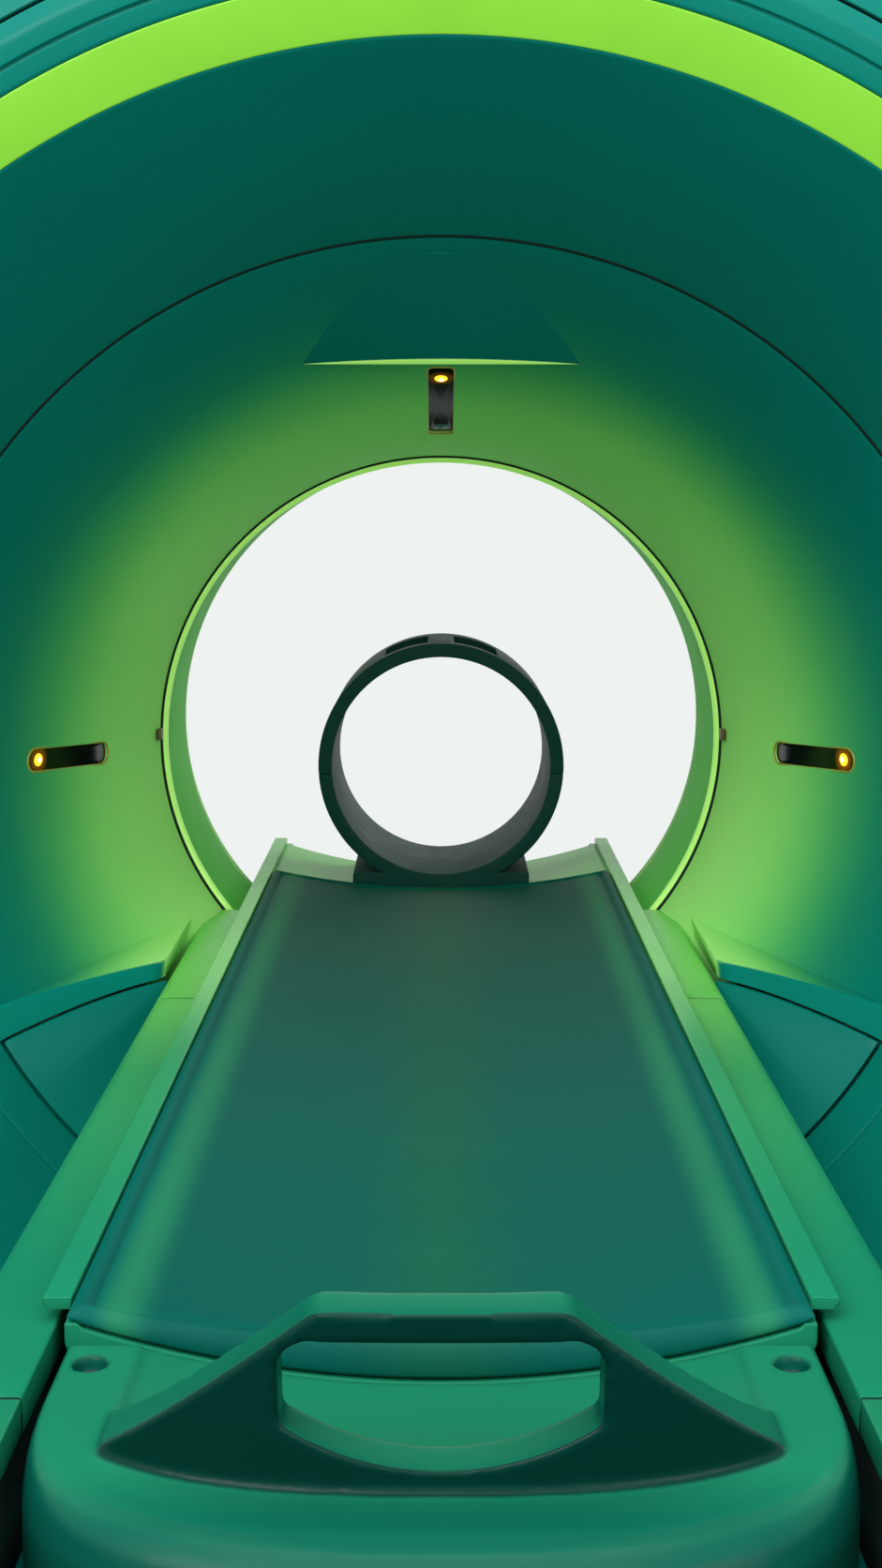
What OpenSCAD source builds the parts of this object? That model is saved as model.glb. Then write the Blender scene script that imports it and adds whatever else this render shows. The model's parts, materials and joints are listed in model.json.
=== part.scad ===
// Short wide-bore MRI scanner with its patient table.
// +Z is up, the table's foot end points to -Y, and the origin lies on the floor
// in the middle of the whole machine. The bore axis runs along Y.

/* [Bore and flare] */
// Radius of the patient tunnel
bore_r = 350; // [345:1:355]
// Length of the straight part of the tunnel
tube_len = 235; // [215:5:260]
// Wall of the tunnel and of the flared covers
liner_wall = 8; // [6:1:9]
// Distance from the tunnel's front edge to the seam ring of the flare
flare_len = 525; // [510:5:540]
// Radius of the flare at its seam ring
flare_r = 539; // [530:1:545]
// Length of the rear flare
rear_flare_len = 615; // [600:5:640]
// Running gap of the seams between covers
seam = 3; // [2:0.5:4]

/* [Front face] */
// Radius where the front dish meets the lit band
dish_r = 668; // [655:1:675]
// Distance of that edge in front of the tunnel
dish_d = 766; // [755:1:775]
// Outer radius of the lit band
band_r = 713; // [705:1:720]
// Rise of the lit band towards the front
band_rise = 16; // [10:1:20]
// Outer radius of the front bezel
bezel_r = 764; // [755:1:775]
// Radius of the fine groove in the bezel
bezel_groove_r = 730; // [726:1:736]
// Radius of the round body of the gantry
barrel_r = 1020; // [1010:5:1040]
// Free height under the round body
floor_gap = 40; // [30:5:60]
// Radius of the rounded edge between the face and the side
barrel_edge = 110; // [80:5:120]
// How far the outer face falls back from the bezel to the edge
face_fall = 60; // [40:5:75]
// Wall of the outer covers
cover_wall = 8; // [6:1:10]

/* [Visor, windows and wings] */
// Height of the visor's lower edge above the bore axis
visor_h = 434; // [428:1:438]
// Distance of the visor's lower edge in front of the tunnel
visor_d = 360; // [350:1:370]
// Distance at which the visor runs out into the flare
visor_top_d = 507; // [490:1:515]
// Start and length of the top light window along the bore
top_window = [127, 180]; // [100:1:200]
// Start and length of each side light window along the bore
side_window = [177, 158]; // [140:1:200]
// Width of the light windows
window_w = 28; // [22:1:32]
// Radius of a light lens
lens_r = 7; // [5:0.5:9]
// Height of the wing ledges below the bore axis
wing_drop = 205; // [202:1:212]
// Fall of a wing over its width
wing_fall = 17; // [12:1:20]
// Height of a wing's front face at the rail
wing_face = 19; // [15:1:24]
// Growth of the wing's front face towards its tip
wing_grow = 20; // [14:1:24]
// Width of a wing
wing_w = 164; // [150:2:180]
// Distance of each lens from the front end of its window: top and sides
lens_back = [28, 20]; // [16:1:40]

/* [Magnet] */
// Space between the cryostat and the round body
cover_space = 160; // [140:5:180]
// Radius of the cryostat's own bore
vessel_bore_r = 490; // [484:1:496]
// Space between the cryostat's ends and the rear face of the gantry
end_space = 82.5; // [76:0.5:90]
// Inner radius of the gradient coil
gradient_r = 398; // [394:1:402]
// Wall of the gradient coil
gradient_wall = 58; // [50:1:62]
// Length of the gradient coil
gradient_len = 560; // [520:5:580]
// Wall of the body coil
body_coil_wall = 14; // [10:1:18]
// Radius of a magnet foot
foot_r = 55; // [45:1:60]
// Half of the foot spacing across the machine
foot_x = 450; // [430:5:480]
// Half of the foot spacing along the machine
foot_d = 480; // [440:5:520]
// Pipe radius of the quench outlet
quench_r = 50; // [45:1:55]

/* [Table] */
// Length of the tabletop with its end cap
top_len = 2010; // [1980:5:2040]
// Distance of the tabletop's foot end in front of the tunnel, as it stands
top_front = 1560; // [1545:1:1575]
// Half width of the cradle
cradle_w = 230; // [226:1:233]
// Depth of the cradle's edge below the bore axis
cradle_drop = 207; // [205:1:209]
// Depth of the hollow in the cradle
hollow = 38; // [32:1:42]
// Underside of the cradle below the bore axis
cradle_low = 288; // [284:1:291]
// Outer half width of the edge strips
strip_w = 247; // [244:1:248]
// Thickness of the edge strips
strip_t = 8; // [6:1:9]
// Length of the end cap with the handle
cap_len = 259; // [250:1:270]
// Length of the end cap's rounded front
cap_nose = 160; // [140:1:180]
// Top plate of the end cap below the bore axis
cap_drop = 219; // [216:1:221]
// Top of the handle below the bore axis
handle_top = 114; // [110:1:118]
// Half width of the handle at its foot and at its top
handle_w = [186, 73]; // [65:1:190]
// Width of the rim in front of the handle
rim_w = 72; // [66:1:78]
// Thickness of the handle loop
handle_t = 32; // [28:1:34]
// Thickness of the mattress in its middle
mattress_t = 22; // [18:1:26]
// Thickness of the mattress at its edges
mattress_edge = 10; // [8:1:11]
// Top of the side rails below the bore axis
rail_drop = 215; // [213:1:217]
// Inner half width of the side rails
rail_in = 238; // [237:0.5:239]
// Outer half width of the side rails
rail_out = 297; // [295:1:299]
// Seam between the bridge and the table, in front of the tunnel
dock_d = 460; // [455:1:470]
// Cross seam near the foot of the table
foot_seam_d = 1385; // [1375:1:1400]
// Foot end of the fixed table
table_end = 2330; // [2320:5:2360]
// Depth of the table deck below the bore axis
deck_drop = 340; // [336:1:345]
// Sheet of the deck
deck_t = 12; // [8:1:14]
// Half width of the lower pedestal cover
pedestal_w = 225; // [215:1:235]
// Start of the pedestal in front of the tunnel
pedestal_d = 960; // [940:5:980]
// Length of the pedestal
pedestal_len = 1080; // [1040:5:1120]
// Height of the lower pedestal cover
pedestal_h = 430; // [400:5:460]

/* [Head coil] */
// Outer radius of the head coil
coil_r = 166; // [160:1:168]
// Wall of the head coil
coil_wall = 18; // [14:1:20]
// Depth of the coil's centre below the bore axis
coil_drop = 59; // [56:1:64]
// Length of the head coil
coil_len = 230; // [210:5:240]
// Gap from the coil to the head end of the tabletop
coil_back = 24; // [16:1:30]

/* [Drive] */
// Radius of the support rollers
roller_r = 22; // [20:0.5:24]
// Length of the support rollers
roller_w = 200; // [180:5:220]
// Radius of the roller shafts
shaft_r = 6; // [5:0.5:7]
// Radial clearance of turning fits
fit = 0.05; // [0.02:0.01:0.08]
// Pitch radius of the belt pulleys
pulley_r = 20; // [18:0.5:21]
// Width of the drive belt
belt_w = 24; // [20:1:28]
// Thickness of the drive belt
belt_t = 3; // [2.5:0.5:4]
// Distance of the front pulley in front of the tunnel
belt_front = 640; // [620:5:660]
// Distance of the rear pulley in front of the tunnel
belt_back = 2180; // [2150:5:2200]

/* [Blower] */
// Radius of the ventilation wheel
wheel_r = 46; // [42:1:48]
// Width of the ventilation wheel
wheel_w = 44; // [38:1:48]
// Number of blades
blades = 16; // [12:1:20]
// Wall of the blower housing
blower_wall = 4; // [3:0.5:5]

/* [Hidden] */
round_fn = 128;
small_fn = 48;
axis_h = barrel_r + floor_gap;
vessel_r = barrel_r - cover_space;
// Curved faces of different pieces keep this much air
air = 0.3;
// The flare opens with the power 1.5 of the distance from the tunnel
flare_power = 1.5;
flare_k = (flare_r - bore_r) / pow(flare_len, flare_power);
// Spacing of the corners with which curved sections are drawn
station = 20;
dish_slope = (dish_r - flare_r) / (dish_d - flare_len);
band_d = dish_d + band_rise;
// The lower panels end on a ring a little behind the seam ring
panel_ring_d = flare_len - 43;
panel_top_d = 338;
panel_top_r = 368;
full_panel_d = 250;
rear_d = -tube_len - rear_flare_len;
rear_r = flare_at(rear_flare_len);
edge_front_d = band_d - face_fall - 18;
edge_back_d = rear_d + 25;
// The body coil sits on the tunnel wall
body_coil_r = bore_r + liner_wall + air;
// The origin is halfway between the foot end and the rear cover
ring_y = (table_end + rear_d) / 2;
mid_d = -tube_len / 2;
vessel_len = 2 * (mid_d - rear_d - end_space);
// The belt runs a little below the cradle, where the clamp reaches it
belt_space = 11;
roller_drop = cradle_low + air + roller_r;
belt_drop = cradle_low + belt_space + pulley_r;
head_d = top_front - top_len;
cap_d = top_front - cap_len;
shell_glow = "#8fbf78";
shell_teal = "#2f7f74";
trim_white = "#dfe9e0";
dark = "#1c2b2b";
black = "#0c1011";
lime = "#a5e63c";
amber = "#ffc23a";
steel = "#9aa4a8";
rail_green = "#4fa889";
pad_teal = "#0f6f68";
copper = "#b8744a";

// Radius of the flare at a distance in front of the tunnel
function flare_at(d) = bore_r + flare_k * pow(max(d, 0), flare_power);
// Radius of the dish at a distance in front of the tunnel
function dish_at(d) = flare_r + dish_slope * (d - flare_len);
function face_at(d) = d < flare_len ? flare_at(d) : dish_at(d);
function spread(a, b, n) = [for (i = [0 : n]) a + (b - a) * i / n];
function stations(a, b) =
    concat([a], [for (i = [floor(a / station) + 1 : ceil(b / station) - 1]) i * station], [b]);
function face_curve(a, b, grow = 0) = [for (d = stations(a, b)) [face_at(d) + grow, d]];
function reversed(list) = [for (i = [len(list) - 1 : -1 : 0]) list[i]];
function arc_points(c, r, a, b, n) =
    [for (t = spread(a, b, n)) [c[0] + r * cos(t), c[1] + r * sin(t)]];

// Plan of a box with rounded corners: half width, start, end and corner radius
function rounded_plan(x, d0, d1, r) = concat(
    arc_points([x - r, d1 - r], r, 0, 90, 6), arc_points([-x + r, d1 - r], r, 90, 180, 6),
    arc_points([-x + r, d0 + r], r, 180, 270, 6), arc_points([x - r, d0 + r], r, 270, 360, 6));

// Local frame of the bore: x across, y up from the axis, z out of the tunnel
module at_bore() translate([0, ring_y, axis_h]) rotate([90, 0, 0]) children();
// A ring turned round the bore from its section of radius and distance
module turned(points) rotate_extrude($fn = round_fn) polygon(points);
// A shape seen from the front, pushed from one distance to another
module push(a, b) translate([0, 0, a]) linear_extrude(b - a) children();
// A shape seen from above, with its top at a height from the axis
module drop(top, h) translate([0, top, 0]) rotate([90, 0, 0]) linear_extrude(h) children();
// A shape seen from the side, of distance and height, centred across
module across(w) rotate([0, -90, 0]) linear_extrude(w, center = true) children();
module flip(side) mirror([side < 0 ? 1 : 0, 0, 0]) children();

// Everything that lies inside the flare, held back by a clearance
module inside_flare(gap, a = 0, b = flare_len) {
    turned(concat([[0, a]], face_curve(a, b, -gap), [[0, b]]));
}
module flare_shell(a, b) {
    turned(concat(face_curve(a, b), reversed(face_curve(a, b, liner_wall))));
}

// Region above the wings' undersides, seen from the front
wing_x = rail_out + 6;
wing_tip_x = wing_x + wing_w;
wing_low = wing_drop + wing_face;
// The wings fall slowly at the rail and faster outwards
wing_power = 1.6;
function wing_share(x) = pow(max(x - wing_x, 0) / wing_w, wing_power);
function wing_top_at(x) = wing_drop + wing_fall * wing_share(x);
function wing_low_at(x) = wing_low + (wing_fall + wing_grow) * wing_share(x);
function wing_line(gap) = [for (x = concat(spread(wing_x, wing_tip_x + 36, 12), [barrel_r]))
    [x, -wing_low_at(x) + gap]];
function left_of(points) = [for (p = reversed(points)) [-p[0], p[1]]];
module above_wings(gap) {
    polygon(concat(left_of(wing_line(gap)), wing_line(gap), [[barrel_r, barrel_r], [-barrel_r, barrel_r]]));
}
module below_wings(gap) {
    far = 2 * barrel_r;
    polygon(concat(left_of(wing_line(-gap)), wing_line(-gap), [[barrel_r, -far], [-barrel_r, -far]]));
}

// Rounded slot of a light window along the bore, made from above
module window_plan(start, len, w, gap) {
    r = 6;
    hull() for (x = [-1, 1], d = [start + r, start + len - r])
        translate([x * (w / 2 - r), d]) circle(r + gap, $fn = small_fn);
}
module window_round(start, len, w, gap) {
    hull() for (d = [start + w / 2, start + len - w / 2])
        translate([0, d]) circle(w / 2 + gap, $fn = small_fn);
}
window_reach = 160;
window_zone = [min(top_window[0], side_window[0]) - window_w,
               max(top_window[0] + top_window[1], side_window[0] + side_window[1]) + window_w];
module top_window_cut(gap) {
    drop(bore_r + window_reach, window_reach) window_plan(top_window[0], top_window[1], window_w, gap);
}
side_tilt = 3.6;
side_lift = 6;
module side_window_cut(side, gap) {
    flip(side) translate([bore_r + 10, side_lift, 0]) rotate([0, 0, -90])
        rotate([90, 0, 0]) translate([0, 0, -window_reach])
        linear_extrude(window_reach) translate([0, side_window[0]]) rotate(side_tilt)
        translate([0, -side_window[0]])
        window_round(side_window[0], side_window[1], window_w - 4, gap);
}
window_gap = 0.5;
window_sink = 1.5;
window_t = 5;
// A black window is a thin piece of the flare's own surface, a little sunk
module window_skin() {
    turned(concat(face_curve(window_zone[0], window_zone[1], window_sink),
                  reversed(face_curve(window_zone[0], window_zone[1], window_sink + window_t))));
}
lens_d = [top_window[0] + top_window[1] - lens_back[0], side_window[0] + side_window[1] - lens_back[1]];
side_lens_lift = side_lift + 9;
module_end = 16;
// Radius at which the light sources start, clear of the windows
module_r = [for (d = lens_d) flare_at(d + module_end) + window_sink + window_t + 1.5];
module top_lens(gap, a, b) {
    translate([0, flare_at(lens_d[0]), lens_d[0]]) rotate([90, 0, 0])
        translate([0, 0, -b]) cylinder(b - a, r = lens_r + gap, $fn = small_fn);
}
module side_lens(side, gap, a, b) {
    flip(side) translate([flare_at(lens_d[1]), side_lens_lift, lens_d[1]]) rotate([0, 90, 0])
        translate([0, 0, a]) cylinder(b - a, r = lens_r + gap, $fn = small_fn);
}

// The visor is a flat facet with a straight lower edge, moulded on the flare
// Depth and rise of its lit underside
visor_under = [28, 11];
module visor() {
    back_d = visor_d - visor_under[0];
    top_r = flare_at(visor_top_d);
    roof = top_r + 5 * liner_wall;
    intersection() {
        inside_flare(-liner_wall / 2, back_d - 5 * visor_under[0]);
        across(2 * bore_r) polygon([[visor_d, visor_h], [visor_top_d, top_r], [visor_top_d, roof],
            [back_d, roof], [back_d, visor_h + visor_under[1]]]);
    }
}

// Half of the joint between the tunnel and a flare
tube_joint = 0.5;
module front_funnel() {
    color(shell_glow) at_bore() difference() {
        union() {
            flare_shell(tube_joint, full_panel_d);
            intersection() {
                flare_shell(full_panel_d, flare_len);
                push(0, flare_len + 1) above_wings(seam / 2);
            }
            visor();
        }
        top_window_cut(window_gap);
        for (side = [-1, 1]) side_window_cut(side, window_gap);
    }
}

// Hidden flange of the dish behind the edge of the flare
lip = 15;
lip_t = 6;
module front_dish() {
    start = flare_len + seam;
    color(shell_teal) at_bore() union() {
        turned([[dish_at(start), start], [dish_r, dish_d],
                [dish_r + liner_wall, dish_d], [dish_at(start) + liner_wall, start]]);
        turned([[flare_at(start - lip) + liner_wall + air, start - lip],
                [flare_r + liner_wall + 2 * air, flare_len + air],
                [dish_at(start + lip) + liner_wall - 1, start + lip],
                [dish_at(start + lip) + liner_wall + lip_t, start + lip],
                [flare_at(start - lip) + liner_wall + lip_t, start - lip]]);
        intersection() {
            flare_shell(panel_ring_d + seam, start);
            push(0, start + 1) below_wings(seam / 2);
        }
    }
}

band_t = 5;
module light_band() {
    seat = dish_r + liner_wall + air;
    color(lime) at_bore()
        turned([[dish_r, dish_d + air], [band_r - air, band_d], [band_r - air, band_d - band_t],
                [seat, dish_d - band_t], [seat, dish_d + air]]);
}

bezel_crest = 6;
bezel_outer_d = band_d - 4;
module front_bezel() {
    mid = (bezel_groove_r + bezel_r) / 2;
    groove = 1.5;
    color(shell_teal) at_bore()
        turned([[band_r, band_d], [bezel_groove_r - groove, band_d + bezel_crest - 2],
                [bezel_groove_r - groove, band_d + 1], [bezel_groove_r + groove, band_d + 1],
                [bezel_groove_r + groove, band_d + bezel_crest - 1.5], [mid, band_d + bezel_crest],
                [bezel_r - 6, bezel_outer_d + 4], [bezel_r, bezel_outer_d],
                [bezel_r, band_d - bezel_depth], [band_r, band_d - bezel_depth]]);
}

face_slope = (bezel_outer_d - 2 - edge_front_d) / (barrel_r - barrel_edge - bezel_r - seam);
cover_lip = 12;
bezel_depth = 22;
spigot = 16;
// Hidden spigot of an end cover inside the round body, between two distances
function spigot_points(a, b) = [[barrel_r - cover_wall - air, a], [barrel_r - cover_wall - air, b],
                                [barrel_r - cover_wall - lip_t, b], [barrel_r - cover_wall - lip_t, a]];
module front_cover() {
    inner = bezel_r + seam;
    corner = [barrel_r - barrel_edge, edge_front_d - barrel_edge];
    lip_d = bezel_outer_d - 2 - cover_lip * face_slope - cover_wall;
    seat_d = band_d - bezel_depth - air;
    color(shell_teal) at_bore() {
        turned(concat([[inner, bezel_outer_d - 2]], arc_points(corner, barrel_edge, 90, 0, 10),
                      arc_points(corner, barrel_edge - cover_wall, 0, 90, 10),
                      [[inner + cover_lip, lip_d], [inner + cover_lip, seat_d - 6],
                       [bezel_r - cover_lip, seat_d - 6], [bezel_r - cover_lip, seat_d],
                       [inner, seat_d]]));
        turned(spigot_points(corner[1] - seam - spigot, corner[1] + lip_t));
    }
}
cover_front_d = edge_front_d - barrel_edge - seam;
cover_back_d = edge_back_d + barrel_edge + seam;

// Back and front of the trim ring at the tunnel's mouth, and how far it stands in
ring_back = -14;
ring_front = -5;
ring_rise = 6;
module bore_tube() {
    color(trim_white) at_bore()
        turned([[bore_r, -tube_len], [bore_r + liner_wall, -tube_len],
                [bore_r + liner_wall, ring_back], [bore_r, ring_back]]);
}

// Bright lip round the mouth of the tunnel, with a dark seal behind it
module bore_trim_ring() {
    out_r = bore_r + liner_wall - 1;
    color(trim_white) at_bore()
        turned([[bore_r - ring_rise, ring_back + air], [out_r, ring_back + air], [out_r, ring_front],
                [bore_r - 1, ring_front], [bore_r - ring_rise + 2, ring_front + 2],
                [bore_r - ring_rise, ring_front - 1]]);
}
module bore_seal() {
    back = ring_front + air;
    front = tube_joint - air;
    color(black) at_bore()
        turned([[bore_r - 0.5, back], [bore_r + liner_wall, back], [bore_r + liner_wall, front],
                [bore_r - 0.5, front]]);
}

clip_d = 24;
clip = [5, 14, 16];
clip_lift = 10;
// Small catches that hold the trim ring at both sides
module ring_clips() {
    edge = sqrt(pow(flare_at(clip_d - clip[2] / 2), 2) - pow(clip_lift + clip[1] / 2, 2)) - air;
    color("#6d5a3c") at_bore() for (side = [-1, 1]) flip(side)
        translate([edge - clip[0], clip_lift - clip[1] / 2, clip_d - clip[2] / 2])
        cube(clip);
}

module laser_window_top() {
    color(black) at_bore() difference() {
        intersection() {
            window_skin();
            top_window_cut(0);
        }
        top_lens(air, -5, 12);
    }
}
module laser_window_side(side) {
    color(black) at_bore() difference() {
        intersection() {
            window_skin();
            side_window_cut(side, 0);
        }
        side_lens(side, air, -12, 12);
    }
}
module laser_window_left() laser_window_side(-1);
module laser_window_right() laser_window_side(1);
module laser_lenses() {
    color(amber) at_bore() {
        top_lens(0, -1, module_r[0] - air - flare_at(lens_d[0]));
        for (side = [-1, 1])
            side_lens(side, 0, -1, module_r[1] - air - flare_at(lens_d[1]));
    }
}
// Light sources in small cases behind the windows
module laser_modules() {
    w = window_w - 8;
    t = 24;
    len = 80;
    color(dark) at_bore() {
        translate([-w / 2, module_r[0], lens_d[0] + module_end - len]) cube([w, t, len]);
        for (side = [-1, 1]) flip(side)
            translate([module_r[1], side_lens_lift - w / 2, lens_d[1] + module_end - len])
            cube([t, w, len]);
    }
}

// Everything behind the lower panels' face, which the front faces of the wings share
module behind_panels() {
    out_r = face_at(panel_ring_d);
    far_r = 2 * out_r - panel_top_r;
    turned([[0, 0], [far_r, 0], [far_r, 2 * panel_ring_d - panel_top_d], [panel_top_r, panel_top_d],
            [0, panel_top_d]]);
}
// Ledge beside the rail: a front view shape, held in the flare and behind the panels' face
wing_back_d = 60;
module wing(side) {
    across = spread(wing_x, wing_tip_x, 12);
    top = [for (x = across) [x, -wing_top_at(x)]];
    low = [for (x = across) [x, -wing_low_at(x) + seam / 2]];
    color(shell_glow) at_bore() flip(side) intersection() {
        push(wing_back_d, flare_len) polygon(concat(top, reversed(low)));
        inside_flare(air);
        behind_panels();
    }
}
module wing_left() wing(-1);
module wing_right() wing(1);

// Sector of the lower flare between the wing and the seam ring
module lower_panel(side) {
    far = flare_r + 20;
    table_low = deck_drop + deck_t + 14;
    out_r = face_at(panel_ring_d);
    back_d = panel_ring_d - liner_wall;
    seat_d = panel_ring_d + lip;
    seat = face_at(seat_d) + liner_wall + air;
    color(shell_teal) at_bore() flip(side) intersection() {
        turned([[panel_top_r, panel_top_d], [out_r, panel_ring_d], [out_r, back_d],
                [face_at(panel_ring_d + seam) + liner_wall + air, back_d], [seat, seat_d],
                [seat + lip_t, seat_d], [seat + lip_t, back_d - lip_t], [out_r, back_d - lip_t],
                [panel_top_r, panel_top_d - liner_wall]]);
        push(0, flare_len) intersection() {
            below_wings(seam / 2);
            polygon([[seam / 4, -table_low], [rail_out + 3, -table_low], [rail_out + 3, 0],
                     [far, 0], [far, -far], [seam / 4, -far]]);
        }
    }
}
module lower_panel_left() lower_panel(-1);
module lower_panel_right() lower_panel(1);

module barrel_shell() {
    turned([[barrel_r - cover_wall, cover_back_d], [barrel_r, cover_back_d],
            [barrel_r, cover_front_d], [barrel_r - cover_wall, cover_front_d]]);
}
module feet_places() {
    for (x = [-1, 1], d = [-1, 1]) translate([x * foot_x, 0, mid_d + d * foot_d]) children();
}
turret_w = 230;
pipe_wall = 5;
turret_d = [-560, -300];
module top_cover() {
    color(shell_teal) at_bore() difference() {
        intersection() {
            barrel_shell();
            push(cover_back_d, cover_front_d)
                translate([-barrel_r, seam / 2]) square([2 * barrel_r, barrel_r + 1]);
        }
        translate([0, vessel_r, (turret_d[0] + turret_d[1]) / 2]) rotate([-90, 0, 0])
            cylinder(2 * barrel_edge + 100, r = quench_r + pipe_wall + air, $fn = small_fn);
    }
}
module side_cover(side) {
    color(shell_teal) at_bore() difference() {
        intersection() {
            barrel_shell();
            push(cover_back_d, cover_front_d) flip(side)
                translate([seam / 2, -barrel_r - 1]) square([barrel_r + 2, barrel_r + 1 - seam / 2]);
        }
        feet_places() translate([0, -axis_h - 1, 0]) rotate([-90, 0, 0])
            cylinder(axis_h, r = foot_r + 4, $fn = small_fn);
    }
}
module side_cover_left() side_cover(-1);
module side_cover_right() side_cover(1);

module rear_cover() {
    corner = [barrel_r - barrel_edge, edge_back_d + barrel_edge];
    inner = rear_r + liner_wall + seam;
    seat = flare_at(rear_flare_len - lip) + liner_wall + air;
    color(shell_teal) at_bore() {
        turned(concat([[inner, rear_d], [inner, rear_d + cover_wall - 3], [seat, rear_d + lip],
                       [seat + lip_t, rear_d + lip], [inner + cover_lip, rear_d + cover_wall]],
                      arc_points(corner, barrel_edge - cover_wall, -90, 0, 10),
                      arc_points(corner, barrel_edge, 0, -90, 10)));
        turned(spigot_points(corner[1] - lip_t, corner[1] + seam + spigot));
    }
}

module rear_funnel() {
    stretch = 1 - tube_joint / rear_flare_len;
    inner = [for (d = stations(0, rear_flare_len)) [flare_at(d), -tube_len - tube_joint - d * stretch]];
    outer = [for (p = inner) [p[0] + liner_wall, p[1]]];
    color(shell_glow) at_bore() turned(concat(inner, reversed(outer)));
}

skirt_x = 640;
skirt_h = 300;
skirt_reach = 120;
// Open frame of four walls under the round body
module base_skirt() {
    d0 = mid_d - foot_d - skirt_reach;
    d1 = mid_d + foot_d + skirt_reach;
    corner = 60;
    color(dark) at_bore() difference() {
        drop(-axis_h + skirt_h, skirt_h) polygon(rounded_plan(skirt_x, d0, d1, corner));
        drop(-axis_h + skirt_h + 1, skirt_h + 2)
            polygon(rounded_plan(skirt_x - cover_wall, d0 + cover_wall, d1 - cover_wall,
                corner - cover_wall));
        translate([0, 0, mid_d - vessel_len]) cylinder(2 * vessel_len, r = barrel_r + air, $fn = round_fn);
    }
}

// The cryostat is a closed drum with a bore that widens at both ends
module magnet_vessel() {
    half = vessel_len / 2;
    mouth = rear_r + 25;
    cone = 170;
    round_edge = 40;
    color("#c9d2d2") at_bore() turned([
        [vessel_bore_r, mid_d - half + cone], [mouth, mid_d - half],
        [vessel_r - round_edge, mid_d - half], [vessel_r, mid_d - half + round_edge],
        [vessel_r, mid_d + half - round_edge], [vessel_r - round_edge, mid_d + half],
        [mouth, mid_d + half], [vessel_bore_r, mid_d + half - cone]]);
}
module magnet_feet() {
    color(steel) at_bore() difference() {
        feet_places() translate([0, -axis_h, 0]) rotate([-90, 0, 0]) {
            cylinder(20, r = foot_r + 1, $fn = small_fn);
            cylinder(axis_h - vessel_r / 2, r = foot_r - 8, $fn = small_fn);
        }
        translate([0, 0, mid_d - vessel_len]) cylinder(2 * vessel_len, r = vessel_r + air, $fn = round_fn);
    }
}
wedge = 60;
module gradient_coil() {
    color(copper) at_bore() translate([0, 0, mid_d - gradient_len / 2]) difference() {
        union() {
            cylinder(gradient_len, r = gradient_r + gradient_wall, $fn = round_fn);
            // Wedges that centre the coil in the cryostat
            for (a = [45 : 90 : 315], d = [20, gradient_len - 20 - wedge]) rotate(a)
                translate([gradient_r, -wedge / 2, d])
                cube([sqrt(pow(vessel_bore_r - air, 2) - pow(wedge / 2, 2)) - gradient_r, wedge, wedge]);
        }
        translate([0, 0, -1]) cylinder(gradient_len + 2, r = gradient_r, $fn = round_fn);
    }
}
module body_coil() {
    len = tube_len - 20;
    color("#d7c48a") at_bore() translate([0, 0, mid_d - len / 2]) difference() {
        cylinder(len, r = body_coil_r + body_coil_wall, $fn = round_fn);
        translate([0, 0, -1]) cylinder(len + 2, r = body_coil_r, $fn = round_fn);
    }
}
cold_d = 180;
cold_a = 35;
module cold_head() {
    color(steel) at_bore() rotate([0, 0, cold_a]) translate([0, vessel_r + air, cold_d]) rotate([-90, 0, 0]) {
        cylinder(30, r = 62, $fn = small_fn);
        translate([0, 0, 30]) cylinder(70, r = 40, $fn = small_fn);
        translate([0, 0, 100]) cylinder(24, r = 52, $fn = small_fn);
    }
}
turret_h = 110;
module service_turret() {
    mid = (turret_d[0] + turret_d[1]) / 2;
    color("#c9d2d2") at_bore() difference() {
        push(turret_d[0], turret_d[1]) translate([-turret_w / 2, vessel_r - 30])
            square([turret_w, turret_h + 30]);
        translate([0, 0, mid_d - vessel_len]) cylinder(2 * vessel_len, r = vessel_r + air, $fn = round_fn);
        translate([0, vessel_r + 40, mid]) rotate([-90, 0, 0]) cylinder(200, r = quench_r, $fn = small_fn);
    }
}
flange_r = quench_r + 40;
flange_bolt_r = quench_r + 25;
bolt_r = 5.5;
quench_len = barrel_r + 70 - vessel_r - turret_h;
// Outlet pipe with a bolted flange above the top cover
module quench_flange() {
    mid = (turret_d[0] + turret_d[1]) / 2;
    color(steel) at_bore() translate([0, vessel_r + turret_h, mid]) rotate([-90, 0, 0]) difference() {
        union() {
            cylinder(quench_len, r = quench_r + pipe_wall, $fn = small_fn);
            translate([0, 0, quench_len - 16]) cylinder(16, r = flange_r, $fn = small_fn);
        }
        translate([0, 0, -1]) cylinder(quench_len + 2, r = quench_r, $fn = small_fn);
        for (a = [0 : 60 : 300]) rotate(a) translate([flange_bolt_r, 0, quench_len - 20])
            cylinder(30, r = bolt_r, $fn = 24);
    }
}
module led_board() {
    t = 6;
    w = 28;
    inner = dish_r + liner_wall + 2 * air;
    color("#2f6b3a") at_bore() translate([0, 0, dish_d - band_t - air - t]) difference() {
        cylinder(t, r = inner + w, $fn = round_fn);
        translate([0, 0, -1]) cylinder(t + 2, r = inner, $fn = round_fn);
    }
}

// Bore ventilation: a drum wheel in a round case on the bottom of the gantry
blower_d = -620;
blower_r = wheel_r + 8;
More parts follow.
